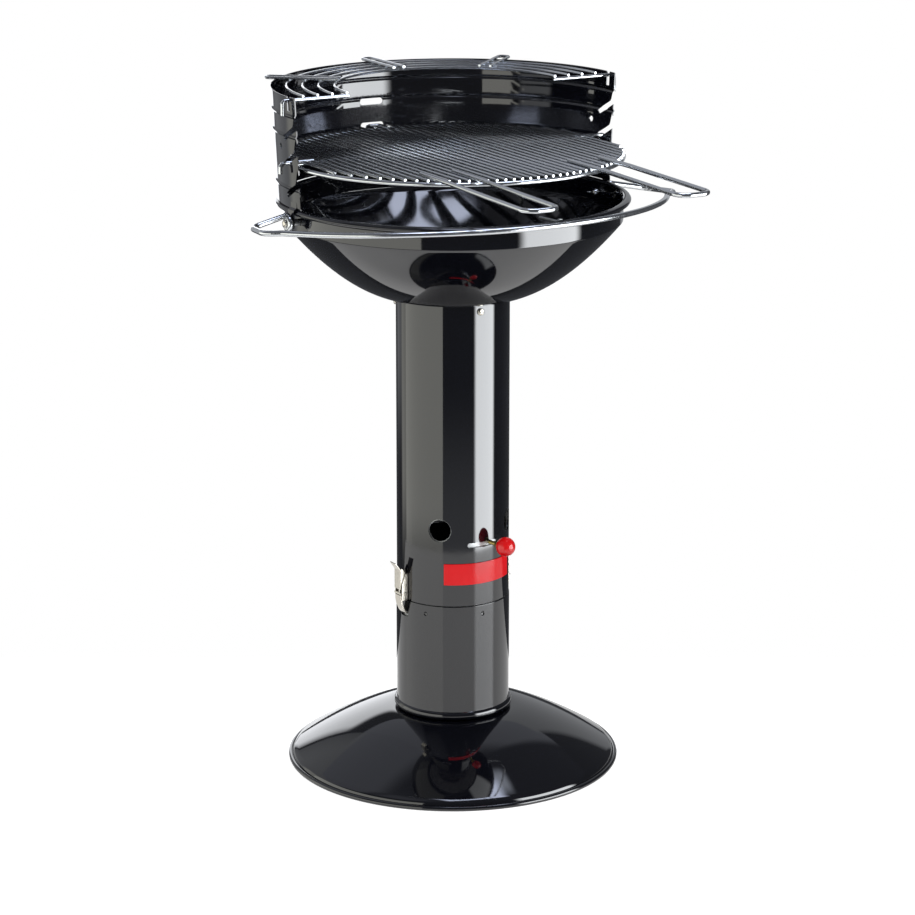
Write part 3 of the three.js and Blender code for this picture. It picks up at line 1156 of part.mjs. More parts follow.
add('foot_dish', footDish(), enamel());
footFastener();
add('ash_pot', ashPot(), enamel());
add('column_collar', collar(), steel());
add('column_tube', columnTube(), enamel());
add('damper_sleeve', damperSleeve(), steel());
damperControls();
add('badge', badge(), redFoil());
latch('left', latchAzimuths()[0]);
latch('right', latchAzimuths()[1]);
add('bowl', bowl(), enamel());
bowlScrews();
add('fire_grate', fireGrate(), steel());
add('windshield', windshield(), enamel());
shieldFasteners();
add('tool_rail', toolRail(), chrome());
railClip();
add('cooking_grid', cookingGrid(), chrome());
add('grid_handle_left', gridHandle(-1), chrome());
add('grid_handle_right', gridHandle(1), chrome());
add('warming_rack', warmingRack(), chrome());

export default group;
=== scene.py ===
# Looks of a pedestal charcoal barbecue: gloss black enamel, chromed wire, steel latches and a red knob.
# The sizes below are millimetres, and Blender's objects are in metres, in the frame of the solids.
import math

import bmesh
import bpy
from mathutils import Matrix, Quaternion, Vector


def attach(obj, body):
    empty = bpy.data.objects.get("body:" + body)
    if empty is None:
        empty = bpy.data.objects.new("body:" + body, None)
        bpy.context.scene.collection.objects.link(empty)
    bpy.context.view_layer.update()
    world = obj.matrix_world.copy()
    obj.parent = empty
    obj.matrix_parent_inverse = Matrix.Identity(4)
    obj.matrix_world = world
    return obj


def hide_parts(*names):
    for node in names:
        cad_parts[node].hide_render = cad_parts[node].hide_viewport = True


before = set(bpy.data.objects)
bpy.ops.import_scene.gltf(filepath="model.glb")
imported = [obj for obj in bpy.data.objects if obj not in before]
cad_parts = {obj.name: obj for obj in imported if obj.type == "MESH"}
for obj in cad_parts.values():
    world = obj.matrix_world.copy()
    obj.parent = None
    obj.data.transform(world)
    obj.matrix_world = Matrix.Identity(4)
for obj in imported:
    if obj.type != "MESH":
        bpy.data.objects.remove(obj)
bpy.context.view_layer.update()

MM = 0.001
SHEET = 2.0
COLUMN_TURN = 3.0
TAB_AZIMUTHS = (-90, 90, 180)
LATCH_AZIMUTHS = {"left": COLUMN_TURN - 90, "right": COLUMN_TURN + 90}


# ---- Camera ----

bpy.ops.object.camera_add(
    location=(-2.0518, -3.7789, 1.612),
    rotation=(math.radians(90 - 14.5), 0, math.radians(-28.5)),
)
camera = bpy.context.object
camera.name = "product_camera"
camera.data.lens = 123.58
camera.data.sensor_width = 36
camera.data.shift_x = 0.00514
camera.data.shift_y = -0.04264
camera.data.clip_start = 0.05
camera.data.clip_end = 60
bpy.context.scene.camera = camera


# ---- Modelling ----

def deselect():
    if bpy.context.object and bpy.context.object.mode != "OBJECT":
        bpy.ops.object.mode_set(mode="OBJECT")
    bpy.ops.object.select_all(action="DESELECT")


def pick(*pieces):
    """Selects only these pieces, the first one active."""
    deselect()
    for piece in pieces:
        piece.select_set(True)
    bpy.context.view_layer.objects.active = pieces[0]
    return pieces[0]


def named(name):
    piece = bpy.context.object
    piece.name = name
    piece.data.name = name
    return piece


def settle(piece):
    """Puts the piece's place, turn and size into its mesh."""
    pick(piece)
    bpy.ops.object.transform_apply(location=True, rotation=True, scale=True)
    return piece


def apply_modifiers(piece):
    pick(piece)
    for modifier in list(piece.modifiers):
        bpy.ops.object.modifier_apply(modifier=modifier.name)
    return piece


def clean(piece, gap=0.01):
    """Merges doubled corners and turns all faces outward."""
    pick(piece)
    bpy.ops.object.mode_set(mode="EDIT")
    bpy.ops.mesh.select_all(action="SELECT")
    bpy.ops.mesh.remove_doubles(threshold=gap * MM)
    bpy.ops.mesh.normals_make_consistent(inside=False)
    bpy.ops.object.mode_set(mode="OBJECT")
    return piece


def draw_line(name, places):
    """A line of edges in space, drawn by extruding one corner from place to place."""
    deselect()
    spots = [Vector(place) * MM for place in places]
    bpy.ops.mesh.primitive_plane_add(size=MM, location=spots[0], enter_editmode=True)
    bpy.ops.mesh.merge(type="CENTER")
    for here, there in zip(spots, spots[1:]):
        bpy.ops.mesh.extrude_vertices_move(TRANSFORM_OT_translate={"value": there - here})
    bpy.ops.object.mode_set(mode="OBJECT")
    return settle(named(name))


def turned(name, profile, sides=192, start=0.0, sweep=360.0):
    """A round shape: a profile of radius and height, spun about the upright axis."""
    a = math.radians(start)
    line = [(radius * math.cos(a), radius * math.sin(a), height) for radius, height in profile]
    piece = draw_line(name, line)
    bpy.ops.object.mode_set(mode="EDIT")
    bpy.ops.mesh.select_all(action="SELECT")
    bpy.ops.mesh.remove_doubles(threshold=0.001 * MM)
    bpy.ops.mesh.spin(steps=sides, angle=-math.radians(sweep), center=(0, 0, 0), axis=(0, 0, 1))
    bpy.ops.object.mode_set(mode="OBJECT")
    return clean(piece)


def arc(centre_r, centre_z, radius, first, last, steps, squeeze=1.0):
    """Points of a round or oval corner in a profile, from one angle to another in degrees."""
    return [
        (
            centre_r + radius * math.cos(math.radians(first + (last - first) * i / steps)),
            centre_z + radius * squeeze * math.sin(math.radians(first + (last - first) * i / steps)),
        )
        for i in range(steps + 1)
    ]


def bent(corners, bend, step=9):
    """A route of straight runs whose corners are rounded to a bend radius."""
    places = [Vector(corner) for corner in corners]
    route = [places[0]]
    for before, corner, after in zip(places, places[1:], places[2:]):
        back, on = before - corner, after - corner
        turn = math.pi - back.angle(on)
        if turn < 0.02:
            route.append(corner)
            continue
        trim = min(bend * math.tan(turn / 2), 0.49 * back.length, 0.49 * on.length)
        radius = trim / math.tan(turn / 2)
        start = corner + back.normalized() * trim
        end = corner + on.normalized() * trim
        middle = (back.normalized() + on.normalized()).normalized()
        centre = corner + middle * (radius / math.cos(turn / 2))
        axis = (start - centre).cross(end - centre).normalized()
        steps = max(2, math.ceil(math.degrees(turn) / step))
        route += [centre + Quaternion(axis, turn * i / steps) @ (start - centre) for i in range(steps + 1)]
    route.append(places[-1])
    return route


def wire(name, route, radius, roundness=3):
    """A round wire along a route, with its sharp end rims eased."""
    piece = draw_line(name, route)
    bpy.ops.object.convert(target="CURVE")
    line = bpy.context.object.data
    line.bevel_depth = radius * MM
    line.bevel_resolution = roundness
    line.use_fill_caps = True
    bpy.ops.object.convert(target="MESH")
    piece = named(name)
    clean(piece, 0.001)
    ease = piece.modifiers.new("ease", "BEVEL")
    ease.limit_method = "ANGLE"
    ease.angle_limit = math.radians(70)
    ease.width = 0.3 * radius * MM
    ease.segments = 2
    return apply_modifiers(piece)


def bar(name, radius, start, end, sides=14):
    """A straight bar between two places, its ends domed by an inset and a push outward."""
    deselect()
    a, b = Vector(start) * MM, Vector(end) * MM
    bpy.ops.mesh.primitive_cylinder_add(
        vertices=sides, radius=radius * MM, depth=(b - a).length, location=(0, 0, 0), enter_editmode=True
    )
    shell = bmesh.from_edit_mesh(bpy.context.object.data)
    for sign in (-1, 1):
        for face in shell.faces:
            face.select = face.normal.z * sign > 0.9
        bmesh.update_edit_mesh(bpy.context.object.data)
        bpy.ops.mesh.inset(thickness=0.35 * radius * MM)
        bpy.ops.transform.translate(value=(0, 0, sign * 0.25 * radius * MM))
    bpy.ops.object.mode_set(mode="OBJECT")
    piece = named(name)
    piece.rotation_mode = "QUATERNION"
    piece.rotation_quaternion = Vector((0, 0, 1)).rotation_difference(b - a)
    piece.location = (a + b) / 2
    return settle(piece)


def plate(name, outline, low, high, bevel=0.35):
    """A flat plate: an outline of x and z, extruded along Y and with its edges eased."""
    piece = draw_line(name, [(x, low, z) for x, z in outline] + [(outline[0][0], low, outline[0][1])])
    bpy.ops.object.mode_set(mode="EDIT")
    bpy.ops.mesh.select_all(action="SELECT")
    bpy.ops.mesh.remove_doubles(threshold=0.001 * MM)
    bpy.ops.mesh.edge_face_add()
    bpy.ops.mesh.extrude_region_move(TRANSFORM_OT_translate={"value": (0, (high - low) * MM, 0)})
    bpy.ops.object.mode_set(mode="OBJECT")
    clean(piece, 0.001)
    if bevel:
        ease_edges(piece, bevel)
    return piece


def ease_edges(piece, width, segments=2, angle=40):
    """Rounds the sharp edges a little, as pressed or cut sheet has them."""
    ease = piece.modifiers.new("ease", "BEVEL")
    ease.limit_method = "ANGLE"
    ease.angle_limit = math.radians(angle)
    ease.width = width * MM
    ease.segments = segments
    ease.use_clamp_overlap = True
    return apply_modifiers(piece)


def joined(name, *pieces):
    """Several shapes as one piece."""
    pick(*pieces)
    if len(pieces) > 1:
        bpy.ops.object.join()
    return named(name)


def cut(piece, *tools, operation="DIFFERENCE"):
    """Cuts the tools out of the piece."""
    tool = joined(piece.name + "_tool", *tools)
    boolean = piece.modifiers.new("cut", "BOOLEAN")
    boolean.operation = operation
    boolean.solver = "MANIFOLD"
    boolean.object = tool
    apply_modifiers(piece)
    bpy.data.objects.remove(tool)
    return piece


def round_tool(radius, azimuth, near, far, height, sides=64):
    """A round cutter that points away from the column's axis at an azimuth counted from the front."""
    deselect()
    a = math.radians(azimuth)
    reach = (near + far) / 2 * MM
    bpy.ops.mesh.primitive_cylinder_add(
        vertices=sides, radius=radius * MM, depth=(far - near) * MM,
        location=(math.sin(a) * reach, -math.cos(a) * reach, height * MM),
        rotation=(math.pi / 2, 0, a),
    )
    return settle(named("tool"))


def box_tool(x0, x1, y0, y1, z0, z1, corner=0.0):
    deselect()
    bpy.ops.mesh.primitive_cube_add(
        size=1, location=((x0 + x1) / 2 * MM, (y0 + y1) / 2 * MM, (z0 + z1) / 2 * MM),
        scale=((x1 - x0) * MM, (y1 - y0) * MM, (z1 - z0) * MM),
    )
    piece = settle(named("tool"))
    if corner:
        ease_edges(piece, corner, 4)
    return piece


def to_azimuth(piece, azimuth):
    """Turns a piece made on the +X side to an azimuth counted from the front."""
    pick(piece)
    piece.rotation_euler.z = math.radians(azimuth - 90)
    return settle(piece)


def lifted(piece, height):
    piece.location.z = height * MM
    return settle(piece)


def along_x(piece):
    """Lays a piece turned about the upright axis down along +X."""
    pick(piece)
    piece.rotation_euler.y = math.pi / 2
    return settle(piece)


def copy_of(piece, name):
    twin = piece.copy()
    twin.data = piece.data.copy()
    bpy.context.scene.collection.objects.link(twin)
    twin.name = name
    twin.data.name = name
    return twin


def smooth(piece, angle=35):
    pick(piece)
    bpy.ops.object.shade_smooth_by_angle(angle=math.radians(angle))
    weigh = piece.modifiers.new("weigh", "WEIGHTED_NORMAL")
    weigh.keep_sharp = True
    weigh.weight = 60
    return apply_modifiers(piece)


def place(piece, body, slot, material, *nodes, angle=35):
    """Finishes a piece: smooth shading, material, the body that it rides on and the nodes that it stands for."""
    smooth(piece, angle)
    piece.data.materials.clear()
    piece.data.materials.append(material)
    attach(piece, body)
    if nodes:
        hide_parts(*nodes)
    return piece


# ---- Materials ----

def paint(code):
    """An sRGB hex colour as linear numbers."""
    shares = [int(code[i:i + 2], 16) / 255 for i in (1, 3, 5)]
    return (*[c / 12.92 if c <= 0.04045 else ((c + 0.055) / 1.055) ** 2.4 for c in shares], 1.0)


def add_node(tree, kind, values=(), links=(), **settings):
    """Adds one node with its settings, the values of its sockets and the sockets that feed it."""
    made = tree.nodes.new(kind)
    for key, value in settings.items():
        setattr(made, key, value)
    for socket, value in dict(values).items():
        made.inputs[socket].default_value = value
    for socket, source in dict(links).items():
        tree.links.new(source, made.inputs[socket])
    return made


def new_material(name, **shader):
    """A material with one Principled shader, and the place on the object in millimetres for its patterns."""
    material = bpy.data.materials.new(name)
    material.use_nodes = True
    tree = material.node_tree
    tree.nodes.clear()
    surface = add_node(tree, "ShaderNodeBsdfPrincipled", values=shader)
    add_node(tree, "ShaderNodeOutputMaterial", links={"Surface": surface.outputs["BSDF"]})
    spot = add_node(tree, "ShaderNodeTexCoord")
    grid = add_node(
        tree, "ShaderNodeMapping", values={"Scale": (1000, 1000, 1000)}, links={"Vector": spot.outputs["Object"]}
    )
    return material, tree, surface, grid.outputs["Vector"]


def vitreous_enamel():
    """Glass fused on pressed steel: deep black, a wet gloss, and the faint waves of a fired coat."""
    material, tree, surface, mm = new_material(
        "black_vitreous_enamel",
        **{"Base Color": paint("#090A10"), "Roughness": 0.05, "IOR": 1.75, "Metallic": 0.0},
    )
    waves = add_node(tree, "ShaderNodeTexNoise", {"Scale": 0.09, "Detail": 2.0, "Roughness": 0.5}, {"Vector": mm})
    peel = add_node(tree, "ShaderNodeTexNoise", {"Scale": 0.7, "Detail": 1.0}, {"Vector": mm})
    both = add_node(
        tree, "ShaderNodeMath", {1: 0.08}, {0: peel.outputs["Fac"], 2: waves.outputs["Fac"]}, operation="MULTIPLY_ADD"
    )
    bump = add_node(
        tree, "ShaderNodeBump", {"Strength": 1.0, "Distance": 0.000008}, {"Height": both.outputs["Value"]}
    )
    tree.links.new(bump.outputs["Normal"], surface.inputs["Normal"])
    handled = add_node(tree, "ShaderNodeTexNoise", {"Scale": 0.02, "Detail": 3.0}, {"Vector": mm})
    rough = add_node(
        tree, "ShaderNodeMapRange", {"From Min": 0.35, "From Max": 0.7, "To Min": 0.035, "To Max": 0.065},
        {"Value": handled.outputs["Fac"]},
    )
    tree.links.new(rough.outputs["Result"], surface.inputs["Roughness"])
    return material


def chromed_wire():
    """Drawn steel wire under bright chromium plate: mirror-like, with faint draw marks."""
    material, tree, surface, mm = new_material(
        "chromium_plated_wire",
        **{"Base Color": paint("#D6D9DC"), "Roughness": 0.12, "Metallic": 0.98},
    )
    cloud = add_node(tree, "ShaderNodeTexNoise", {"Scale": 0.25, "Detail": 3.0}, {"Vector": mm})
    rough = add_node(
        tree, "ShaderNodeMapRange", {"From Min": 0.3, "From Max": 0.7, "To Min": 0.1, "To Max": 0.2},
        {"Value": cloud.outputs["Fac"]},
    )
    tree.links.new(rough.outputs["Result"], surface.inputs["Roughness"])
    bump = add_node(tree, "ShaderNodeBump", {"Strength": 1.0, "Distance": 0.00001}, {"Height": cloud.outputs["Fac"]})
    tree.links.new(bump.outputs["Normal"], surface.inputs["Normal"])
    return material


def rolled_stainless():
    """Cold-rolled stainless strip: warm grey, satin, with fine rolling lines."""
    material, tree, surface, mm = new_material(
        "rolled_stainless_strip",
        **{"Base Color": paint("#CFCABF"), "Roughness": 0.26, "Metallic": 1.0},
    )
    along = add_node(tree, "ShaderNodeMapping", {"Scale": (3.0, 3.0, 0.08)}, {"Vector": mm})
    lines = add_node(tree, "ShaderNodeTexNoise", {"Scale": 1.0, "Detail": 2.0}, {"Vector": along.outputs["Vector"]})
    rough = add_node(
        tree, "ShaderNodeMapRange", {"From Min": 0.3, "From Max": 0.7, "To Min": 0.13, "To Max": 0.26},
        {"Value": lines.outputs["Fac"]},
    )
    tree.links.new(rough.outputs["Result"], surface.inputs["Roughness"])
    bump = add_node(tree, "ShaderNodeBump", {"Strength": 1.0, "Distance": 0.00002}, {"Height": lines.outputs["Fac"]})
    tree.links.new(bump.outputs["Normal"], surface.inputs["Normal"])
    return material


def galvanised_steel():
    """Zinc-coated sheet and fasteners: cool grey, dull, with a soft spangle."""
    material, tree, surface, mm = new_material(
        "galvanised_sheet",
        **{"Base Color": paint("#B4B7B8"), "Roughness": 0.38, "Metallic": 1.0},
    )
    spangle = add_node(tree, "ShaderNodeTexVoronoi", {"Scale": 0.16}, {"Vector": mm})
    tint = add_node(
        tree, "ShaderNodeMix", {6: paint("#A6A9AB"), 7: paint("#C2C4C4")}, {0: spangle.outputs["Distance"]},
        data_type="RGBA",
    )
    tree.links.new(tint.outputs[2], surface.inputs["Base Color"])
    return material


def yellow_zinc():
    """Yellow passivated zinc plate on turned steel: straw gold with olive clouds."""
    material, tree, surface, mm = new_material(
        "yellow_passivated_zinc",
        **{"Base Color": paint("#B79C58"), "Roughness": 0.33, "Metallic": 1.0},
    )
    cloud = add_node(tree, "ShaderNodeTexNoise", {"Scale": 0.5, "Detail": 3.0}, {"Vector": mm})
    tint = add_node(
        tree, "ShaderNodeMix", {6: paint("#8E7B3E"), 7: paint("#D2BC78")}, {0: cloud.outputs["Fac"]},
        data_type="RGBA",
    )
    tree.links.new(tint.outputs[2], surface.inputs["Base Color"])
    return material


def moulded_phenolic():
    """Moulded red plastic: saturated, glossy, with a trace of mould flow."""
    material, tree, surface, mm = new_material(
        "moulded_red_plastic",
        **{"Base Color": paint("#D90D12"), "Roughness": 0.17, "IOR": 1.53, "Metallic": 0.0},
    )
    flow = add_node(tree, "ShaderNodeTexNoise", {"Scale": 0.12, "Detail": 2.0}, {"Vector": mm})
    tint = add_node(
        tree, "ShaderNodeMix", {6: paint("#D20B10"), 7: paint("#E01216")}, {0: flow.outputs["Fac"]},
        data_type="RGBA",
    )
    tree.links.new(tint.outputs[2], surface.inputs["Base Color"])
    bump = add_node(tree, "ShaderNodeBump", {"Strength": 1.0, "Distance": 0.00002}, {"Height": flow.outputs["Fac"]})
    tree.links.new(bump.outputs["Normal"], surface.inputs["Normal"])
    return material


def printed_foil():
    """Red printed foil under a clear film: flat colour with a soft gloss."""
    material, tree, surface, mm = new_material(
        "red_foil_badge",
        **{"Base Color": paint("#E20A14"), "Roughness": 0.2, "IOR": 1.42, "Metallic": 0.0},
    )
    grain = add_node(tree, "ShaderNodeTexNoise", {"Scale": 1.1, "Detail": 2.0}, {"Vector": mm})
    rough = add_node(
        tree, "ShaderNodeMapRange", {"From Min": 0.3, "From Max": 0.7, "To Min": 0.12, "To Max": 0.2},
        {"Value": grain.outputs["Fac"]},
    )
    tree.links.new(rough.outputs["Result"], surface.inputs["Roughness"])
    return material


ENAMEL = vitreous_enamel()
CHROME = chromed_wire()
STAINLESS = rolled_stainless()
GALVANISED = galvanised_steel()
ZINC = yellow_zinc()
RED_PLASTIC = moulded_phenolic()
RED_FOIL = printed_foil()


# ---- Foot ----

FOOT_TOP_RADIUS, FOOT_EDGE_RADIUS = 84.0, 229.0
FOOT_TOP_HEIGHT, FOOT_EDGE_HEIGHT = 75.0, 12.0


def foot_height(radius):
    share = max(0.0, (radius - FOOT_TOP_RADIUS) / (FOOT_EDGE_RADIUS - FOOT_TOP_RADIUS))
    return FOOT_EDGE_HEIGHT + (FOOT_TOP_HEIGHT - FOOT_EDGE_HEIGHT) * (1 - share ** 1.45)


def foot():
    over = [(4.4, 75.0), (30, 75.0), (60, 75.0), (78, 75.0)]
    over += [(84 + 145 * i / 30, foot_height(84 + 145 * i / 30)) for i in range(31)]
    over += [(230.6, 9.6), (231.2, 7.6)] + arc(234.4, 3.6, 3.6, 140, -200, 22)
    under = [(229.8, 8.2), (228.0, 10.0)]
    under += [(83 + 144 * i / 24, foot_height(84 + 145 * i / 24) - SHEET) for i in range(23, -1, -1)]
    under += [(60, 73.0), (30, 73.0), (4.4, 73.0), (4.4, 75.0)]
    place(turned("foot_shell", over + under, 256), "stand", "black_enamel", ENAMEL, "foot_dish")


# ---- Fasteners ----

def hex_nut(name, radius, near, far, bore):
    """A nut about +X with eased corners and an open bore."""
    deselect()
    bpy.ops.mesh.primitive_cylinder_add(
        vertices=6, radius=radius * MM, depth=(far - near) * MM,
        location=((near + far) / 2 * MM, 0, 0), rotation=(0, math.pi / 2, 0),
    )
    nut = settle(named(name))
    ease_edges(nut, 0.08 * radius, 2)
    return cut(nut, bar("tool", bore, (near - 3, 0, 0), (far + 3, 0, 0), 24))


def thread(radius, start, end, pitch=1.0, depth=0.3):
    """Profile points of a screw thread, drawn as rings at its pitch."""
    count = max(1, int((end - start) / pitch))
    step = (end - start) / count
    points = []
    for i in range(count):
        points += [(radius, start + i * step), (radius - depth, start + (i + 0.5) * step)]
    return points + [(radius, end)]


def pan_head(radius, start, height, steps=6):
    """Profile points of a pan head, from its seat to the axis."""
    rim = height * 0.35
    points = [(radius, start), (radius, start + rim)]
    for i in range(1, steps + 1):
        a = math.pi / 2 * i / steps
        points.append((radius * math.cos(a), start + rim + (height - rim) * math.sin(a)))
    return points


def cross_cut(at, size, depth):
    """A cutter for the cross in a screw's head, about +X."""
    return [
        box_tool(at - depth, at + 4, -size, size, -size * 0.22, size * 0.22),
        box_tool(at - depth, at + 4, -size * 0.22, size * 0.22, -size, size),
    ]


def wing_nut(name, face):
    """A pressed wing nut about +X: a cone hub and two raised wings."""
    hub = turned(name + "_hub", [
        (3.0, 0.0), (5.4, 0.0), (5.4, 1.4), (4.6, 6.0), (3.0, 6.0), (3.0, 0.0),
    ], 40)
    along_x(hub)
    hub.rotation_euler.z = math.pi
    hub.location.x = face * MM
    settle(hub)
    wings = []
    for side in (-1, 1):
        outline = [
            (face - 1.0, side * 3.6), (face - 5.6, side * 3.6), (face - 8.6, side * 7.2), (face - 10.4, side * 10.4),
            (face - 9.6, side * 12.0), (face - 7.4, side * 12.0), (face - 5.0, side * 9.6), (face - 2.4, side * 6.6),
        ]
        wings.append(plate(f"{name}_wing", outline, -1.2, 1.2, 0.5))
    nut = joined(name, hub, *wings)
    nut.rotation_euler.x = math.pi / 2
    return settle(nut)


def foot_fasteners():
    bolt = turned("foot_joint_bolt", [(0, 66.0)] + [(6.2, 66.0), (7.0, 66.8), (7.0, 71.1)] + thread(
        4.0, 71.1, 88.1, 1.25, 0.35) + [(0, 88.1)], 48)
    place(bolt, "stand", "stainless_steel", GALVANISED, "foot_bolt")
    washer = turned("foot_joint_washer", [
        (4.4, 71.4), (11.6, 71.1), (12.0, 71.5), (12.0, 72.6), (4.4, 72.7), (4.4, 71.4),
    ], 64)
    place(washer, "stand", "stainless_steel", GALVANISED, "foot_washer")
    nut = hex_nut("foot_joint_nut", 7.5, 77.6, 84.1, 4.2)
    nut.rotation_euler.y = -math.pi / 2
    place(settle(nut), "stand", "stainless_steel", GALVANISED, "foot_nut")


# ---- Ash pot ----

POT_RADIUS, POT_TOP = 80.8, 246.0


def ash_pot():
    wall = [(4.4, 75.3), (40, 75.3), (72, 75.3)] + arc(77.7, 83.0, 6.8, -88, 62, 18)
    wall += [(80.85, 89.9), (80.8, 91.2), (80.8, 120), (80.8, 160), (80.8, 200), (80.8, 230)]
    wall += arc(79.8, 245.0, 1.0, 0, 180, 8)
    wall += [(78.8, 230), (78.8, 160), (78.8, 84.0)] + arc(72.8, 83.3, 6.0, 0, -90, 6)
    wall += [(40, 77.3), (4.4, 77.3), (4.4, 75.3)]
    pot = turned("ash_pot_shell", wall)
    tools = []
    for azimuth in LATCH_AZIMUTHS.values():
        tools.append(to_azimuth(box_tool(74, 88, -9, 9, 221.1, 228.8, 1.6), azimuth))
    cut(pot, *tools)
    dents = []
    for i in range(6):
        a = math.radians(COLUMN_TURN + 60 * i)
        deselect()
        bpy.ops.mesh.primitive_uv_sphere_add(
            segments=28, ring_count=16, radius=4.3 * MM,
            location=(math.sin(a) * 83.7 * MM, -math.cos(a) * 83.7 * MM, 233 * MM),
        )
        dents.append(settle(named("tool")))
    cut(pot, *dents)
    place(pot, "stand", "black_enamel", ENAMEL, "ash_pot")


# ---- Column ----

def air_hole_azimuths():
    return [COLUMN_TURN + 45 + 90 * i for i in range(4)]


def column():
    wall = arc(79.2, 247.1, 0.8, -180, 0, 8) + [(80, 260), (80, 300), (80, 400), (80, 500), (80, 600)]
    wall += arc(79.2, 678.2, 0.8, 0, 180, 8) + [(78, 600), (78, 400), (78, 260)]
    wall.append(wall[0])
    tube = turned("column_shell", [(r if r > 79 else 78.0 + (r - 78.4) * 0.4, z) for r, z in wall])
    tools = [round_tool(16.5, azimuth, 70, 88, 357) for azimuth in air_hole_azimuths()]
    slot = turned("slot_tool", [(72, 331.5), (88, 331.5), (88, 338.5), (72, 338.5), (72, 331.5)], 24,
                  start=-90 + COLUMN_TURN - 14, sweep=31.5)
    pick(slot)
    bpy.ops.object.mode_set(mode="EDIT")
    bpy.ops.mesh.select_all(action="SELECT")
    bpy.ops.mesh.fill_holes(sides=8)
    bpy.ops.mesh.normals_make_consistent(inside=False)
    bpy.ops.object.mode_set(mode="OBJECT")
    ends = [round_tool(3.5, COLUMN_TURN + azimuth, 71, 89, 335, 32) for azimuth in (-14, 17.5)]
    cut(slot, *ends, operation="UNION")
    cut(tube, *tools, slot)
    place(tube, "stand", "black_enamel", ENAMEL, "column_tube")
    liner = turned("column_liner", [
        (76.1, 215), (77.7, 215), (77.7, 256), (77.7, 295), (77.2, 296), (76.1, 296), (76.1, 256), (76.1, 215),
    ])
    place(liner, "stand", "stainless_steel", GALVANISED, "column_collar")


# ---- Air damper ----

def damper():
    stem_at = COLUMN_TURN + 11
    sleeve = turned("damper_ring", [
        (76.2, 324.3), (77.4, 324), (77.7, 324.3), (77.7, 352), (77.7, 381.2), (77.4, 381.5), (76.2, 381.2),
        (76.2, 352), (76.2, 324.3),
    ])
    tools = [round_tool(15.5, azimuth, 70, 84, 357) for azimuth in air_hole_azimuths()]
    tools.append(round_tool(3.4, stem_at, 70, 84, 335, 24))
    cut(sleeve, *tools)
    place(sleeve, "air_damper", "stainless_steel", GALVANISED, "damper_sleeve")
    stem = turned("damper_rod", [(0, 69.2)] + thread(3.0, 69.6, 103.5, 1.0, 0.32) + [(0, 103.7)], 40)
    place(lifted(to_azimuth(along_x(stem), stem_at), 335), "air_damper", "yellow_zinc", ZINC, "damper_stem")
    ball = turned("damper_ball", [(0, 103.9), (3.4, 103.9), (3.4, 96.4), (4.6, 96.1)] + [
        (13.8 * math.sin(math.radians(a)), 109.5 - 13.8 * math.cos(math.radians(a))) for a in range(24, 180, 6)
    ] + [(0, 123.3)], 96)
    place(lifted(to_azimuth(along_x(ball), stem_at), 335), "air_damper", "red_plastic", RED_PLASTIC, "damper_knob")
    for name, near, far, node in (
        ("damper_locknut", 91.3, 95.7, "damper_nut_outer"), ("damper_backnut", 71.2, 75.6, "damper_nut_inner"),
    ):
        nut = hex_nut(name, 5.6, near, far, 3.1)
        place(lifted(to_azimuth(nut, stem_at), 335), "air_damper", "yellow_zinc", ZINC, node)


# ---- Badge ----

def badge():
    band = turned("column_badge", [
        (80.25, 278.2), (80.8, 278.0), (81.15, 278.3), (81.2, 279.0), (81.2, 293.5), (81.2, 308.0), (81.15, 308.7),
        (80.8, 309.0), (80.25, 308.8), (80.25, 293.5), (80.25, 278.2),
    ], 64, start=-90 + COLUMN_TURN - 40.5, sweep=81)
    pick(band)
    bpy.ops.object.mode_set(mode="EDIT")
    bpy.ops.mesh.select_all(action="SELECT")
    bpy.ops.mesh.fill_holes(sides=0)
    bpy.ops.object.mode_set(mode="OBJECT")
    place(clean(band), "stand", "red_badge", RED_FOIL, "badge")


# ---- Latches, made on the +X side ----

PIVOT = (84.7, 257.0)
CLAW_PIN = (90.3, 257.0)


def offset_line(line, thickness):
    """A strip's outline: a line and its copy at one thickness on the line's left."""
    places = [Vector((x, z)) for x, z in line]
    other = []
    for i, spot in enumerate(places):
        into = (places[max(i, 1)] - places[max(i, 1) - 1]).normalized()
        last = min(i + 1, len(places) - 1)
        out = (places[last] - places[last - 1]).normalized()
        middle = (into + out).normalized()
        reach = thickness / middle.dot(into)
        other.append(Vector((spot.x - middle.y * reach, spot.y + middle.x * reach)))
    return [tuple(p) for p in places] + [tuple(p) for p in reversed(other)]


def cross_pin(name, spot, half, head):
    """A riveted pin along Y with a shallow head at each end."""
    profile = [(0, -half - head), (1.5, -half - head), (2.3, -half - 0.3 * head), (2.3, -half), (1.35, -half)]
    profile += [(1.35, half), (2.3, half), (2.3, half + 0.3 * head), (1.5, half + head), (0, half + head)]
    if not head:
        profile = [(0, -half), (1.2, -half), (1.35, -half + 0.2), (1.35, half - 0.2), (1.2, half), (0, half)]
    pin = turned(name, profile, 32)
    pin.rotation_euler.x = math.pi / 2
    pin.location = (spot[0] * MM, 0, spot[1] * MM)
    return settle(pin)


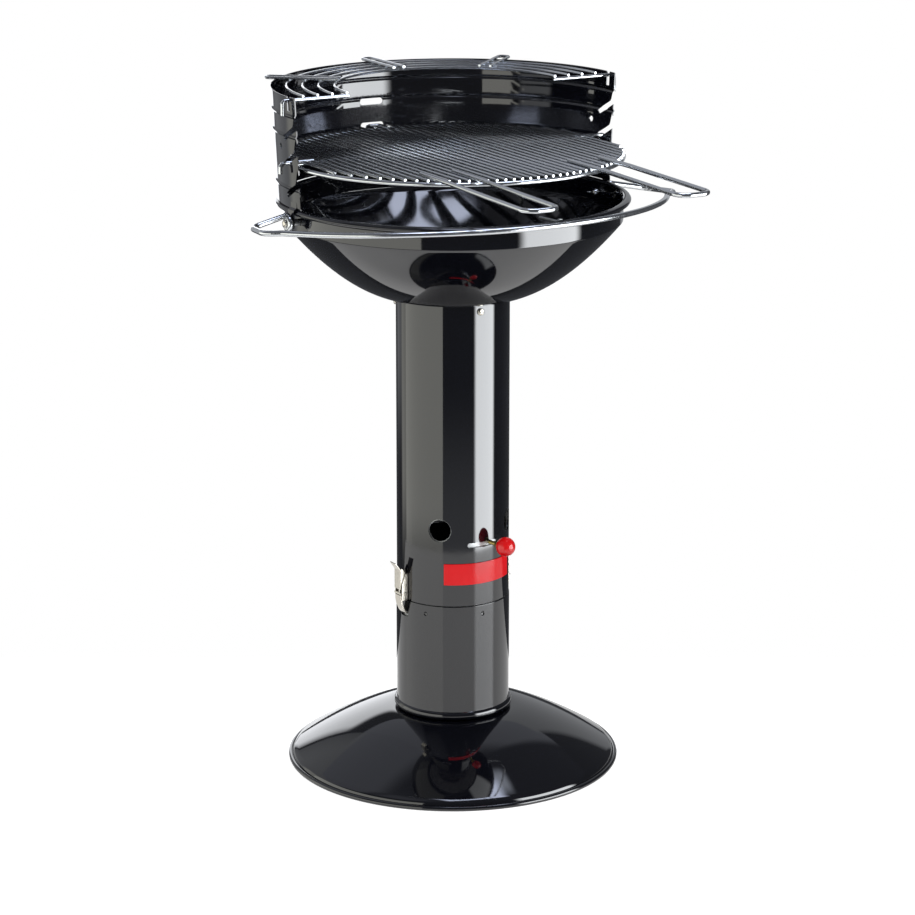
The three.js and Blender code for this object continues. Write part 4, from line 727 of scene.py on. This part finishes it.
def latch(side):
    azimuth = LATCH_AZIMUTHS[side]
    face = 80.3
    cheek = [(face, 247), (89.0, 247), (90.0, 248), (90.0, 270), (84.0, 286), (face, 286)]
    base = plate(f"{side}_latch_base", cheek, -9.1, 9.1, 0)
    cut(base, box_tool(face + 1.6, 95, -7.9, 7.9, 240, 290))
    cut(base, bar("tool", 1.55, (PIVOT[0], -15, PIVOT[1]), (PIVOT[0], 15, PIVOT[1]), 32))
    ease_edges(base, 0.3)
    rivet = turned("rivet", [(0, 78.2), (1.8, 78.2), (1.8, 82.2)] + [(r, z + 0.0) for r, z in pan_head(3.2, 82.2, 1.3)], 32)
    along_x(rivet)
    lever_face = [(92.4, 263.2), (92.4, 291.0), (93.2, 292.8), (99.8, 302.3)]
    front = plate("lever_front", offset_line(lever_face, 1.5), -7.6, 7.6, 0.35)
    flange = [(91.6, 264.5), (91.8, 292.5), (90.4, 294.2), (88.6, 293.4), (84.3, 287.2), (90.9, 270.4)]
    sides = [plate("lever_side", flange, low, low + 1.2, 0.25) for low in (-8.4, 7.2)]
    arm = [
        (82.5, 258.0), (82.5, 256.0), (84.0, 254.7), (91.0, 254.7), (92.6, 256.2), (92.5, 259), (92.4, 268.5),
        (90.8, 268.5), (89.0, 262.5), (84.0, 259.5),
    ]
    arms = [plate("lever_arm", arm, low, low + 1.5, 0.25) for low in (-5.8, 4.3)]
    roll = bar("lever_roll", 2.3, (CLAW_PIN[0], -5.8, CLAW_PIN[1]), (CLAW_PIN[0], 5.8, CLAW_PIN[1]), 28)
    heel = bar("lever_heel", 2.3, (PIVOT[0], -5.8, PIVOT[1]), (PIVOT[0], 5.8, PIVOT[1]), 28)
    lever = joined(f"{side}_latch_lever", front, *sides, *arms, roll, heel)
    line = [(80.0, 225.5), (83.0, 227.0), (85.6, 230.6), (88.0, 235.5), (90.0, 241.0), (91.2, 248.0), (91.4, 257.0)]
    claw = plate(f"{side}_latch_claw", offset_line(line, 2.2), -7.6, 7.6, 0)
    eye = bar("claw_eye", 2.4, (CLAW_PIN[0], -7.6, CLAW_PIN[1]), (CLAW_PIN[0], 7.6, CLAW_PIN[1]), 32)
    cut(claw, eye, operation="UNION")
    cut(claw, box_tool(84.0, 99.0, -6.1, 6.1, 254.0, 263.0))
    cut(claw, bar("tool", 1.5, (CLAW_PIN[0], -15, CLAW_PIN[1]), (CLAW_PIN[0], 15, CLAW_PIN[1]), 32))
    ease_edges(claw, 0.3)
    pivot = cross_pin(f"{side}_lever_pivot", PIVOT, 9.3, 0.9)
    claw_pin = cross_pin(f"{side}_claw_pivot", CLAW_PIN, 7.6, 0)
    for piece, body, node in (
        (base, "stand", "base"), (lever, f"{side}_lever", "lever"), (claw, f"{side}_claw", "claw"),
        (pivot, "stand", "lever_pin"), (claw_pin, f"{side}_lever", "claw_pin"),
    ):
        place(to_azimuth(piece, azimuth), body, "stainless_steel", STAINLESS, f"latch_{side}_{node}")
    for i, height in enumerate((269, 278)):
        twin = lifted(to_azimuth(copy_of(rivet, f"{side}_latch_rivet_{i + 1}"), azimuth), height)
        place(twin, "stand", "stainless_steel", STAINLESS, f"latch_{side}_rivet_{i + 1}")
    bpy.data.objects.remove(rivet)


# ---- Bowl ----

BOWL_RADIUS, NECK_RADIUS = 237.0, 77.7
BEAD_HEIGHT = 817.5


def dish_height(radius):
    share = max(0.0, (radius - NECK_RADIUS) / (BOWL_RADIUS - NECK_RADIUS))
    return 679.3 + 109.7 * share ** 1.74


def bowl():
    outside = [(75.7, 655.3), (77.7, 655.3), (77.7, 667), (77.7, 679.3)]
    radii = [NECK_RADIUS + (BOWL_RADIUS - NECK_RADIUS) * i / 56 for i in range(57)]
    outside += [(r, dish_height(r)) for r in radii[1:-1]]
    outside += [(236.55, 788.5), (236.9, 789.3), (237.0, 790.2), (237.0, 796), (237.0, 804), (237.0, 810.5)]
    rim = arc(241.25, BEAD_HEIGHT, 6.25, -112, 180, 40, squeeze=4.3 / 6.25)
    outside += [(237.3, 812.4), (238.0, 813.2)] + rim
    inside = [(235.0, 811), (235.0, 800), (235.0, 792.6), (234.7, 791.2), (234.0, 790.2)]
    inside += [(r - 1.3, dish_height(r) + 2.0) for r in reversed(radii[1:-1])]
    inside += [(75.9, 681.6), (75.7, 680.5), (75.7, 668), (75.7, 655.3)]
    dish = turned("bowl_shell", outside + inside, 256)
    tools = [round_tool(2.9, 120 * i, 70, 84, 670, 32) for i in range(3)]
    tools += [round_tool(3.4, azimuth, 230, 240, 804, 32) for azimuth in TAB_AZIMUTHS]
    tools.append(round_tool(2.4, 9.5, 228, 243.4, BEAD_HEIGHT, 32))
    cut(dish, *tools)
    place(dish, "stand", "black_enamel", ENAMEL, "bowl")


def bowl_screws():
    for i in range(3):
        screw = turned("screw", [(0, 63.5)] + thread(2.5, 64, 80.3, 0.8, 0.25) + pan_head(5.0, 80.3, 3.0), 40)
        along_x(screw)
        cut(screw, *cross_cut(83.3, 2.6, 1.6))
        screw.name = f"column_screw_{i + 1}"
        place(lifted(to_azimuth(screw, 120 * i), 670), "stand", "stainless_steel", STAINLESS, f"bowl_screw_{i + 1}")
        nut = hex_nut(f"column_nut_{i + 1}", 5.0, 71.1, 75.1, 2.6)
        place(lifted(to_azimuth(nut, 120 * i), 670), "stand", "stainless_steel", GALVANISED, f"bowl_nut_{i + 1}")


# ---- Fire grate ----

def fire_grate():
    height = dish_height(104) + 2.4 + 3 + 1.9
    ring = wire("ring", [
        (104 * math.cos(math.radians(a)), 104 * math.sin(math.radians(a)), height) for a in range(0, 361, 4)
    ], 3)
    bars = []
    for i in range(9):
        x = (i - 4) * 21
        half = math.sqrt(104 ** 2 - x ** 2)
        bars.append(bar("bar", 3, (x, -half, height), (x, half, height), 16))
    place(joined("charcoal_grate", ring, *bars), "grate", "stainless_steel", GALVANISED, "fire_grate")


# ---- Windshield ----

SHIELD_BOTTOM, SHIELD_TOP = 822.1, 976.0
SHIELD_FRONT = 18.7
SLANT_LEVELS = (840.0, 883.5, 918.0)


def shield_radius(height):
    return 244.3 + 7.3 * (height - SHIELD_BOTTOM) / (SHIELD_TOP - SHIELD_BOTTOM)


def rib_rise(height):
    for rib in (850.0, 922.0, 950.0):
        if abs(height - rib) < 3.4:
            return 0.8 * (1 + math.cos(math.pi * (height - rib) / 3.4))
    return 0.0


def slanted_slot(level):
    """A slanted slot's cutter across both sides, round at its inner end and open at the front edge."""
    cos, sin = math.cos(math.radians(27)), math.sin(math.radians(27))
    place_of = lambda run, across: (17 - run * cos + across * sin, level + run * sin + across * cos)
    outline = [place_of(-4 * math.sin(math.radians(a)), 4 * math.cos(math.radians(a))) for a in range(0, 181, 15)]
    mouth = (17 + SHIELD_FRONT) / cos
    outline += [place_of(mouth + 6, -4), place_of(mouth + 6, 19), place_of(mouth - 7.5, 5.2), place_of(mouth - 10.5, 4)]
    piece = plate("tool", outline, -270, 270, 0)
    piece.rotation_euler.z = math.pi / 2
    return settle(piece)


def slot_outline(half_width, half_height, centre):
    left = [(-half_width + half_height - half_height * math.sin(math.radians(a)),
             centre - half_height * math.cos(math.radians(a))) for a in range(0, 181, 15)]
    return left + [(-x, z) for x, z in reversed(left)]


def windshield():
    heights = [SHIELD_BOTTOM + 0.5, 830, 838, 845]
    for rib in (850.0, 922.0, 950.0):
        heights += [rib + 0.85 * i for i in range(-4, 5)]
    heights += [860, 870, 880, 890, 900, 910, 935, 962, 970, 975.2]
    heights.sort()
    outer = [(shield_radius(z) + rib_rise(z), z) for z in heights]
    inner = [(r - 1.6, z) for r, z in reversed(outer)]
    profile = outer + [(251.1, 975.9), (250.5, 975.9)] + inner + [(243.0, 822.2), (243.9, 822.2), outer[0]]
    wall = turned("windshield_shell", profile, 220, start=-7, sweep=194)
    pick(wall)
    bpy.ops.object.mode_set(mode="EDIT")
    bpy.ops.mesh.select_all(action="SELECT")
    bpy.ops.mesh.bisect(
        plane_co=(0, -SHIELD_FRONT * MM, 0), plane_no=(0, 1, 0), use_fill=True, clear_inner=True
    )
    bpy.ops.object.mode_set(mode="OBJECT")
    clean(wall)
    tools = [slanted_slot(level) for level in SLANT_LEVELS]
    for level in SLANT_LEVELS:
        tools.append(plate("tool", slot_outline(18.5, 4.4, level), 235, 265, 0))
    for azimuth in (-90, 90):
        hole = round_tool(4.2, azimuth, 235, 262, 904, 32)
        hole.location.y = 36 * MM
        tools.append(settle(hole))
    tools.append(box_tool(-270, 270, -3.6, 3.6, 956, 985))
    cut(wall, *tools)
    ease_edges(wall, 0.3, 2, 50)
    tabs = []
    for azimuth in TAB_AZIMUTHS:
        tab = plate("tab", [
            (243.2, 832), (243.2, 824), (244.4, 821.9), (246.8, 821.5), (247.8, 820.3), (247.8, 796.6), (248.6, 796),
            (249.4, 796.6), (249.4, 820.8), (248.2, 823.0), (245.6, 824.2), (244.9, 826), (244.9, 832),
        ], -9, 9, 0.3)
        cut(tab, bar("tool", 3.4, (240, 0, 804), (256, 0, 804), 32))
        tabs.append(to_azimuth(tab, azimuth))
    shell = joined("windshield_shell", wall, *tabs)
    place(shell, "stand", "black_enamel", ENAMEL, "windshield")


def shield_fasteners():
    for i, azimuth in enumerate(TAB_AZIMUTHS):
        head = 249.7 if azimuth == 180 else 258.0
        bolt = turned("bolt", [(0, 224.6)] + thread(3.0, 225, 240, 1.0, 0.3) + [(3.0, head)] + pan_head(5.5, head, 3.6), 40)
        bolt = lifted(to_azimuth(along_x(bolt), azimuth), 804)
        bolt.name = f"windshield_bolt_{i + 1}"
        place(bolt, "stand", "stainless_steel", STAINLESS, f"shield_bolt_{i + 1}")
        spacer = turned("spacer", [
            (3.4, 237.3), (4.8, 237.3), (5.0, 237.6), (5.0, 247.2), (4.8, 247.5), (3.4, 247.5), (3.4, 237.3),
        ], 40)
        spacer = lifted(to_azimuth(along_x(spacer), azimuth), 804)
        spacer.name = f"windshield_spacer_{i + 1}"
        place(spacer, "stand", "stainless_steel", GALVANISED, f"shield_spacer_{i + 1}")
        nut = lifted(to_azimuth(wing_nut(f"windshield_wing_{i + 1}", 233.8), azimuth), 804)
        place(nut, "stand", "chromed_wire", CHROME, f"wing_nut_{i + 1}")


# ---- Tool rail ----

def rail_height(y):
    return 804 - 14.2 * y / 251.8


def tool_rail():
    eye_x = 253.7
    front = []
    for i in range(-59, 60, 2):
        a = math.radians(i)
        x, y = 350 * math.sin(a), 98.2 - 350 * math.cos(a)
        front.append((x, y, rail_height(y)))
    def ear(side):
        return [
            (side * eye_x, 0, 810), (side * eye_x, 0, 815.5),
            (side * 313, -10, rail_height(-10)), (side * 322, -68, rail_height(-68)),
            front[0] if side < 0 else front[-1], front[2] if side < 0 else front[-3],
        ]
    left = bent(ear(-1), 17)
    right = bent(ear(1), 17)
    route = left + [Vector(p) for p in front[3:-3]] + list(reversed(right))
    body = wire("rail", route, 4, 5)
    eyes = []
    for side in (-1, 1):
        deselect()
        bpy.ops.mesh.primitive_torus_add(
            major_radius=8 * MM, minor_radius=4 * MM, major_segments=48, minor_segments=24,
            location=(side * eye_x * MM, 0, 804 * MM), rotation=(0, math.pi / 2, 0),
        )
        eyes.append(settle(named("eye")))
    place(joined("hanging_rail", body, *eyes), "stand", "chromed_wire", CHROME, "tool_rail")
    rod = turned("rod", [(0, 190), (1.6, 190), (2.0, 190.4)] + thread(2.0, 191, 240, 1.2, 0.14) + [(0, 243.2)], 32)
    rod = lifted(to_azimuth(along_x(rod), 9.5), BEAD_HEIGHT)
    rod.name = "rail_stay"
    place(rod, "stand", "chromed_wire", GALVANISED, "rail_clip")
    nut = hex_nut("rail_stay_nut", 5.0, 229.8, 233.8, 2.1)
    place(lifted(to_azimuth(nut, 9.5), BEAD_HEIGHT), "stand", "stainless_steel", GALVANISED, "rail_clip_nut")


# ---- Cooking grid ----

HOOK_HEIGHT = 882.8
RING_HEIGHT = 877.1
BAR_HEIGHT = RING_HEIGHT + 3.2 + 2.5 - 0.5


def cooking_grid():
    ring = wire("ring", [
        (236 * math.cos(math.radians(a)), 236 * math.sin(math.radians(a)), RING_HEIGHT) for a in range(0, 361, 2)
    ], 3.2, 4)
    bars = []
    for i in range(39):
        x = (i - 19) * 11.7
        half = math.sqrt(236 ** 2 - x ** 2)
        bars.append(bar("bar", 2.5, (x, -half - 0.6, BAR_HEIGHT), (x, half + 0.6, BAR_HEIGHT), 14))
    cross = math.sqrt(236 ** 2 - 31 ** 2)
    bars.append(bar("bar", 3.2, (-cross, 31, RING_HEIGHT), (cross, 31, RING_HEIGHT), 20))
    wall = math.sqrt(shield_radius(HOOK_HEIGHT) ** 2 - 17 ** 2)
    for side in (-1, 1):
        bars.append(wire("hook", bent([
            (side * 206, 17, HOOK_HEIGHT), (side * (wall + 9), 17, HOOK_HEIGHT), (side * (wall + 9), 17, HOOK_HEIGHT - 14),
        ], 6), 3, 4))
    tongue = shield_radius(HOOK_HEIGHT) - 1.6 + 0.9 - 3
    bars.append(wire("tongue", bent([
        (-11, 214, HOOK_HEIGHT), (-11, tongue, HOOK_HEIGHT), (11, tongue, HOOK_HEIGHT), (11, 214, HOOK_HEIGHT),
    ], 6), 3, 4))
    place(joined("wire_grid", ring, *bars), "grid", "chromed_wire", CHROME, "cooking_grid")


def grid_handle(side, name):
    top = BAR_HEIGHT + 2.5 + 0.3 + 3.3 - 1.3
    x0, x1 = side * 113 - 24.3, side * 113 + 24.3
    route = bent([
        (x0, -165, top), (x0, -245, top), (x0, -446, top - 4), (x1, -446, top - 4), (x1, -245, top), (x1, -165, top),
    ], 17, 6)
    place(wire(f"{name}_grip", route, 3.3, 5), "grid", "chromed_wire", CHROME, f"grid_handle_{name}")


# ---- Warming rack ----

def warming_rack():
    loop_z = 976 + 0.3 + 2.2
    arc_z = loop_z - 2.2 - 2 + 0.5
    bar_z = arc_z - 2 - 2.5 + 0.5
    parts = []
    for radius in (163, 185, 207, 229):
        parts.append(wire("arc", [
            (radius * math.cos(math.radians(a)), radius * math.sin(math.radians(a)), arc_z) for a in range(0, 181, 3)
        ], 2, 3))
    for side in (-1, 1):
        parts.append(wire("end", bent([
            (side * 160, 0, bar_z), (side * 259.6, 0, bar_z), (side * 259.6, 0, bar_z - 20),
        ], 5), 2.5, 4))
    for azimuth in (-129, 180, 135):
        loop = wire("loop", bent([
            (160, -8, loop_z), (264, -8, loop_z), (264, 8, loop_z), (160, 8, loop_z),
        ], 7), 2.2, 3)
        parts.append(to_azimuth(loop, azimuth))
    place(joined("top_rack", *parts), "rack", "chromed_wire", CHROME, "warming_rack")


foot()
foot_fasteners()
ash_pot()
column()
damper()
badge()
latch("left")
latch("right")
bowl()
bowl_screws()
fire_grate()
windshield()
shield_fasteners()
tool_rail()
cooking_grid()
grid_handle(-1, "left")
grid_handle(1, "right")
warming_rack()


# ---- Studio ----

def glow(name, colour, strength, **edges):
    """A plain light-giving surface, with soft edges given as low, high and width along x, y, z or azimuth."""
    material = bpy.data.materials.new(name)
    material.use_nodes = True
    tree = material.node_tree
    tree.nodes.clear()
    light = add_node(tree, "ShaderNodeEmission", {"Color": paint(colour), "Strength": strength})
    surface = light.outputs["Emission"]
    if edges:
        spot = add_node(tree, "ShaderNodeTexCoord")
        axes = add_node(tree, "ShaderNodeSeparateXYZ", links={0: spot.outputs["Object"]})
        front = add_node(tree, "ShaderNodeMath", {1: -1.0}, {0: axes.outputs["Y"]}, operation="MULTIPLY")
        turn = add_node(
            tree, "ShaderNodeMath", {}, {0: axes.outputs["X"], 1: front.outputs["Value"]}, operation="ARCTAN2"
        )
        sources = {"x": axes.outputs["X"], "y": axes.outputs["Y"], "z": axes.outputs["Z"], "azimuth": turn.outputs[0]}
        share = None
        for key, (low, high, width) in edges.items():
            unit = math.radians(1) if key == "azimuth" else 1.0
            for start, end in ((low, low + width), (high, high - width)):
                fade = add_node(
                    tree, "ShaderNodeMapRange", {"From Min": start * unit, "From Max": end * unit},
                    {"Value": sources[key]}, interpolation_type="SMOOTHSTEP",
                )
                if share:
                    fade = add_node(
                        tree, "ShaderNodeMath", {}, {0: share.outputs[0], 1: fade.outputs[0]}, operation="MULTIPLY"
                    )
                share = fade
        clear = add_node(tree, "ShaderNodeBsdfTransparent")
        faded = add_node(tree, "ShaderNodeMixShader", (), {0: share.outputs[0], 1: clear.outputs[0], 2: surface})
        surface = faded.outputs["Shader"]
    add_node(tree, "ShaderNodeOutputMaterial", links={"Surface": surface})
    return material


def panel(name, first, last, low, high, radius, material):
    """An upright curved panel round the object, from one azimuth to another, seen only in reflections."""
    wall = turned(name, [(radius, low), (radius, high)], 24, start=first - 90, sweep=last - first)
    wall.data.materials.append(material)
    hide_panel(wall)


def hide_panel(wall):
    wall.visible_camera = False
    wall.visible_diffuse = False
    wall.visible_shadow = False
    wall.visible_transmission = False
    wall.visible_volume_scatter = False


panel("dark_walls", -180, 180, -3200, 2600, 3600, glow("dark_wall", "#F2F6FF", 0.08))
panel("left_softbox", -138, -48.5, -700, 1500, 3000, glow(
    "left_light", "#F8F8F0", 1.65, azimuth=(-139, -47, 2), z=(-0.7, 1.5, 0.25)))
panel("left_wall", -158, -120, -700, 1500, 3100, glow(
    "left_wall_paint", "#F8F8F0", 1.0, azimuth=(-158, -110, 8), z=(-0.7, 1.5, 0.3)))
panel("right_softbox", 13, 64, -900, 1700, 3000, glow(
    "right_light", "#F4F7FA", 8.8, azimuth=(13, 65, 8), z=(-1.2, 1.7, 0.4)))
panel("grey_wall", 122, 152, 0, 2500, 3300, glow(
    "grey_wall_paint", "#F2F5FA", 0.52, azimuth=(121, 150, 4), z=(-0.2, 2.9, 0.3)))
panel("grey_corner", -179.5, -110, -500, 2500, 3300, glow(
    "grey_corner_paint", "#F2F5FA", 0.45, azimuth=(-190, -112, 20), z=(-0.5, 2.9, 0.4)))
panel("back_softbox", 150, 179.5, 0, 1750, 3150, glow(
    "back_light", "#F4F6FA", 2.5, azimuth=(150, 181, 5), z=(-0.3, 1.7, 0.3)))
panel("front_card", -48.5, 16.5, -3200, -200, 3300, glow(
    "front_card_paint", "#F2F5FA", 0.35, z=(-3.4, -0.2, 0.4)))


def level_panel(name, at, size, material):
    """A level panel over or under the object, seen only in reflections."""
    deselect()
    bpy.ops.mesh.primitive_plane_add(size=1.0, location=at)
    sheet = named(name)
    sheet.scale = (*size, 1)
    settle(sheet)
    sheet.data.materials.append(material)
    hide_panel(sheet)


level_panel("dark_ground", (0, 0, -3.1), (7.6, 7.6), glow("dark_ground_paint", "#F2F6FF", 0.05))
level_panel("dark_ceiling", (0, 0, 2.7), (7.6, 7.6), glow("dark_ceiling_paint", "#EEF2FF", 0.10))
level_panel("back_ceiling_right", (1.7, 2.0, 2.5), (3.4, 3.4), glow(
    "right_ceiling_paint", "#EEF2FF", 0.42, azimuth=(115, 190, 5), y=(0.45, 4.5, 0.5)))
level_panel("back_ceiling_left", (-1.6, 2.0, 2.5), (3.2, 3.4), glow(
    "back_ceiling_paint", "#EEF2FF", 0.40, x=(-3.2, 1.0, 0.6), y=(0.6, 4.5, 0.5)))
level_panel("left_ceiling", (-1.3, 0.0, 2.55), (1.8, 1.8), glow(
    "left_ceiling_paint", "#EEF2FF", 0.28, x=(-2.2, -0.4, 0.6), y=(-0.9, 0.9, 0.5)))
level_panel("top_softbox", (0.2, -0.25, 2.4), (1.3, 0.7), glow(
    "top_light", "#DDE6FF", 6.5, x=(-0.45, 0.85, 0.2), y=(-0.6, 0.1, 0.15)))
level_panel("side_softbox", (0.85, 0.0, 2.45), (0.4, 0.5), glow(
    "side_light", "#E6EEFF", 2.0, x=(0.65, 1.05, 0.15), y=(-0.25, 0.25, 0.2)))

deselect()
bpy.ops.mesh.primitive_circle_add(
    vertices=128, radius=1.15, fill_type="NGON", location=(0, 0, 0), enter_editmode=True
)
bpy.ops.mesh.select_all(action="SELECT")
bpy.ops.mesh.bisect(plane_co=(0.2, 0.369, 0), plane_no=(0.477, 0.879, 0), clear_outer=True)
bpy.ops.object.mode_set(mode="OBJECT")
floor = named("white_floor")
floor_paint = bpy.data.materials.new("satin_white_floor")
floor_paint.use_nodes = True
tree = floor_paint.node_tree
tree.nodes.clear()
ray = add_node(tree, "ShaderNodeLightPath")
seen = add_node(
    tree, "ShaderNodeMath", {}, {0: ray.outputs["Is Camera Ray"], 1: ray.outputs["Is Transmission Ray"]},
    operation="MAXIMUM",
)
shown = add_node(tree, "ShaderNodeMath", {1: 0.78}, {0: seen.outputs["Value"]}, operation="MULTIPLY")
level = add_node(
    tree, "ShaderNodeMath", {1: 0.25}, {0: ray.outputs["Is Glossy Ray"], 2: shown.outputs["Value"]},
    operation="MULTIPLY_ADD",
)
white = add_node(tree, "ShaderNodeEmission", {"Color": paint("#FFFFFF")}, {"Strength": level.outputs["Value"]})
matt = add_node(tree, "ShaderNodeBsdfDiffuse", {"Color": paint("#F2F2F2")})
both = add_node(tree, "ShaderNodeAddShader", (), {0: white.outputs["Emission"], 1: matt.outputs["BSDF"]})
sheen = add_node(tree, "ShaderNodeBsdfGlossy", {"Color": paint("#FFFFFF"), "Roughness": 0.12})
weak = add_node(tree, "ShaderNodeFresnel", {"IOR": 1.3})
polished = add_node(
    tree, "ShaderNodeMixShader", (),
    {0: weak.outputs["Fac"], 1: both.outputs["Shader"], 2: sheen.outputs["BSDF"]},
)
clear = add_node(tree, "ShaderNodeBsdfTransparent")
back = add_node(tree, "ShaderNodeNewGeometry")
mix = add_node(
    tree, "ShaderNodeMixShader", (),
    {0: back.outputs["Backfacing"], 1: polished.outputs["Shader"], 2: clear.outputs["BSDF"]},
)
add_node(tree, "ShaderNodeOutputMaterial", links={"Surface": mix.outputs["Shader"]})
floor.data.materials.append(floor_paint)

world = bpy.data.worlds.new("white_studio")
bpy.context.scene.world = world
world.use_nodes = True
tree = world.node_tree
tree.nodes.clear()
ray = add_node(tree, "ShaderNodeLightPath")
seen = add_node(
    tree, "ShaderNodeMath", {}, {0: ray.outputs["Is Camera Ray"], 1: ray.outputs["Is Glossy Ray"]}, operation="MAXIMUM"
)
seen = add_node(
    tree, "ShaderNodeMath", {}, {0: seen.outputs["Value"], 1: ray.outputs["Is Transmission Ray"]}, operation="MAXIMUM"
)
strength = add_node(
    tree, "ShaderNodeMapRange", {"To Min": 0.62, "To Max": 1.0}, {"Value": seen.outputs["Value"]}
)
sky = add_node(tree, "ShaderNodeBackground", {"Color": paint("#FFFFFF")}, {"Strength": strength.outputs["Result"]})
add_node(tree, "ShaderNodeOutputWorld", links={"Surface": sky.outputs["Background"]})


def lamp(name, place_at, aim, size, power):
    """A soft area lamp for the matt surfaces: the panels do the reflections."""
    deselect()
    bpy.ops.object.light_add(type="AREA", location=place_at)
    light = bpy.context.object
    light.name = name
    light.data.shape = "RECTANGLE"
    light.data.size, light.data.size_y = size
    light.data.energy = power
    light.rotation_mode = "QUATERNION"
    light.rotation_quaternion = (Vector(aim) - Vector(place_at)).to_track_quat("-Z", "Y")
    light.visible_glossy = False
    light.visible_camera = False


lamp("key_lamp", (1.9, -2.2, 1.9), (0, 0, 0.6), (1.2, 1.6), 45)
lamp("fill_lamp", (-2.4, -0.6, 1.6), (0, 0, 0.6), (1.4, 1.6), 20)

scene = bpy.context.scene
scene.view_settings.view_transform = "Standard"
